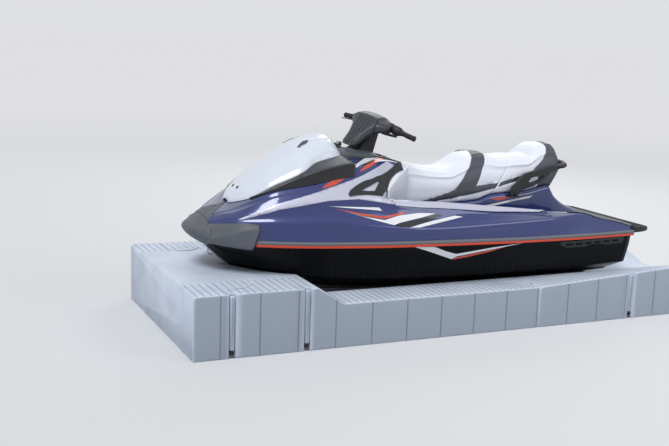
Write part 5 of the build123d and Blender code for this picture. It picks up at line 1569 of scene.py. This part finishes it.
# Film, then its corners as distance behind the nose and y, seen from above
top_stripes = [
    ("white_film", [(1015, 349), (1040, 295), (1110, 222), (1170, 160), (1256, 160), (1267, 164),
                    (1131, 268)]),
    ("black_film", [(1062, 345), (1131, 268), (1205, 205), (1212, 220), (1142, 280), (1078, 332)]),
    ("red_orange_film", [(1035, 361), (1078, 330), (1142, 280), (1212, 221), (1285, 152), (1320, 140),
                         (1246, 238), (1147, 305), (1054, 355)]),
]
pieces = {}
for stripes, seen_from in ((side_stripes, {}), (pedestal_stripes, {"outside": 420}),
                           (top_stripes, {"above": True})):
    for film, outline in stripes:
        stripe = both("stripe", craft_skin, outline, films[film], lift=0.7, step=14, **seen_from)
        pieces.setdefault(film, []).append(stripe)
for film, group in pieces.items():
    fit(joined(f"{film}_stripes", group), ROOT)

# Studio: a plain pale floor, an even backdrop, soft light from above and the camera. None of it is
# part of the object. The floor grows a little lighter far out, so that it meets the backdrop.
# Matt paint gives the eye nothing but the shadow: no shine, no grain.
floor_material, tree, shader = finish("pale_studio_floor", "#dcdddf", Roughness=0.95, Specular_IOR_Level=0.0)
where = node(tree, "ShaderNodeTexCoord").outputs["Object"]
away = node(tree, "ShaderNodeVectorMath", {0: where}, operation="LENGTH").outputs["Value"]
far = node(tree, "ShaderNodeMapRange", {0: away, 1: 5.0, 2: 16.0}).outputs[0]
tone = node(tree, "ShaderNodeMix", {"Factor": far, 6: linear("#dcdddf"), 7: linear("#eae9ea")},
            data_type="RGBA").outputs[2]
tree.links.new(tone, shader.inputs["Base Color"])
bpy.ops.mesh.primitive_plane_add(size=400, location=(0, 0, -0.001))
floor = bpy.context.object
floor.name = "studio_floor"
floor.data.materials.append(floor_material)

scene = bpy.context.scene
scene.view_settings.view_transform = "Standard"
world = bpy.data.worlds.new("studio_air")
scene.world = world
world.use_nodes = True
tree = world.node_tree
sky = tree.nodes["Background"]
where = node(tree, "ShaderNodeTexCoord").outputs["Generated"]
rise = node(tree, "ShaderNodeSeparateXYZ", {0: where}).outputs[2]
ramp = node(tree, "ShaderNodeMapRange", {0: rise, 1: -0.1, 2: 0.6}).outputs[0]
tone = node(tree, "ShaderNodeMix", {"Factor": ramp, 6: linear("#a9adb2"), 7: linear("#f4f7fb")},
            data_type="RGBA").outputs[2]
tree.links.new(tone, sky.inputs["Color"])
sky.inputs["Strength"].default_value = 0.5
# The eye, metal and glass see the even backdrop; everything else is lit by the air above
backdrop = node(tree, "ShaderNodeBackground", {"Color": linear("#dfe0e2"), "Strength": 1.0}).outputs[0]
rays = node(tree, "ShaderNodeLightPath").outputs
mirrored = node(tree, "ShaderNodeMath", {0: rays["Is Glossy Ray"], 1: rays["Is Transmission Ray"]},
                operation="MAXIMUM").outputs[0]
seen = node(tree, "ShaderNodeMath", {0: rays["Is Camera Ray"], 1: mirrored}, operation="MAXIMUM").outputs[0]
shown_air = node(tree, "ShaderNodeMixShader", {0: seen, 1: sky.outputs[0], 2: backdrop}).outputs[0]
tree.links.new(shown_air, tree.nodes["World Output"].inputs["Surface"])


def lamp(name, place, target, size, power):
    """Square soft white light at a place, aimed at a target."""
    light = bpy.data.lights.new(name, "AREA")
    light.shape, light.size, light.energy = "SQUARE", size, power
    made = bpy.data.objects.new(name, light)
    made.location = place
    made.rotation_euler = (Vector(target) - Vector(place)).to_track_quat("-Z", "Y").to_euler()
    scene.collection.objects.link(made)


sun = bpy.data.objects.new("key_light", bpy.data.lights.new("key_light", "SUN"))
sun.data.energy, sun.data.angle = 1.7, math.radians(25)
sun.rotation_euler = Vector((-3.5, -3.0, -8.0)).to_track_quat("-Z", "Y").to_euler()
scene.collection.objects.link(sun)
lamp("side_light", (-4.5, 6.0, 4.5), (0, 0, 0.6), 4.0, 110)
lamp("back_light", (-3.0, -5.0, 5.0), (0, 0, 0.8), 3.5, 90)

# The camera stands where the photograph was taken from: 10.5 degrees down, 1.9 degrees of roll. Its
# focal length is 1042 pixels of a picture 669 pixels wide.
pitch, roll, yaw = math.radians(10.49), math.radians(1.92), math.radians(24.45)
ahead = Vector((-math.sin(yaw), -math.cos(yaw), 0))
right = Vector((-math.cos(yaw), math.sin(yaw), 0))
up = Vector((0, 0, 1))
look = ahead * math.cos(pitch) - up * math.sin(pitch)
upward = up * math.cos(pitch) + ahead * math.sin(pitch)
rolled = right * math.cos(roll) + upward * math.sin(roll)
upward = upward * math.cos(roll) - right * math.sin(roll)
camera = bpy.data.objects.new("camera", bpy.data.cameras.new("camera"))
camera.data.sensor_width = 36.0
camera.data.lens = 1042 / 669 * 36
facing = Matrix((rolled, upward, -look)).transposed()
camera.matrix_world = Matrix.Translation((3.625, 6.259, 1.890)) @ facing.to_4x4()
camera.data.clip_end = 200
scene.collection.objects.link(camera)
scene.camera = camera
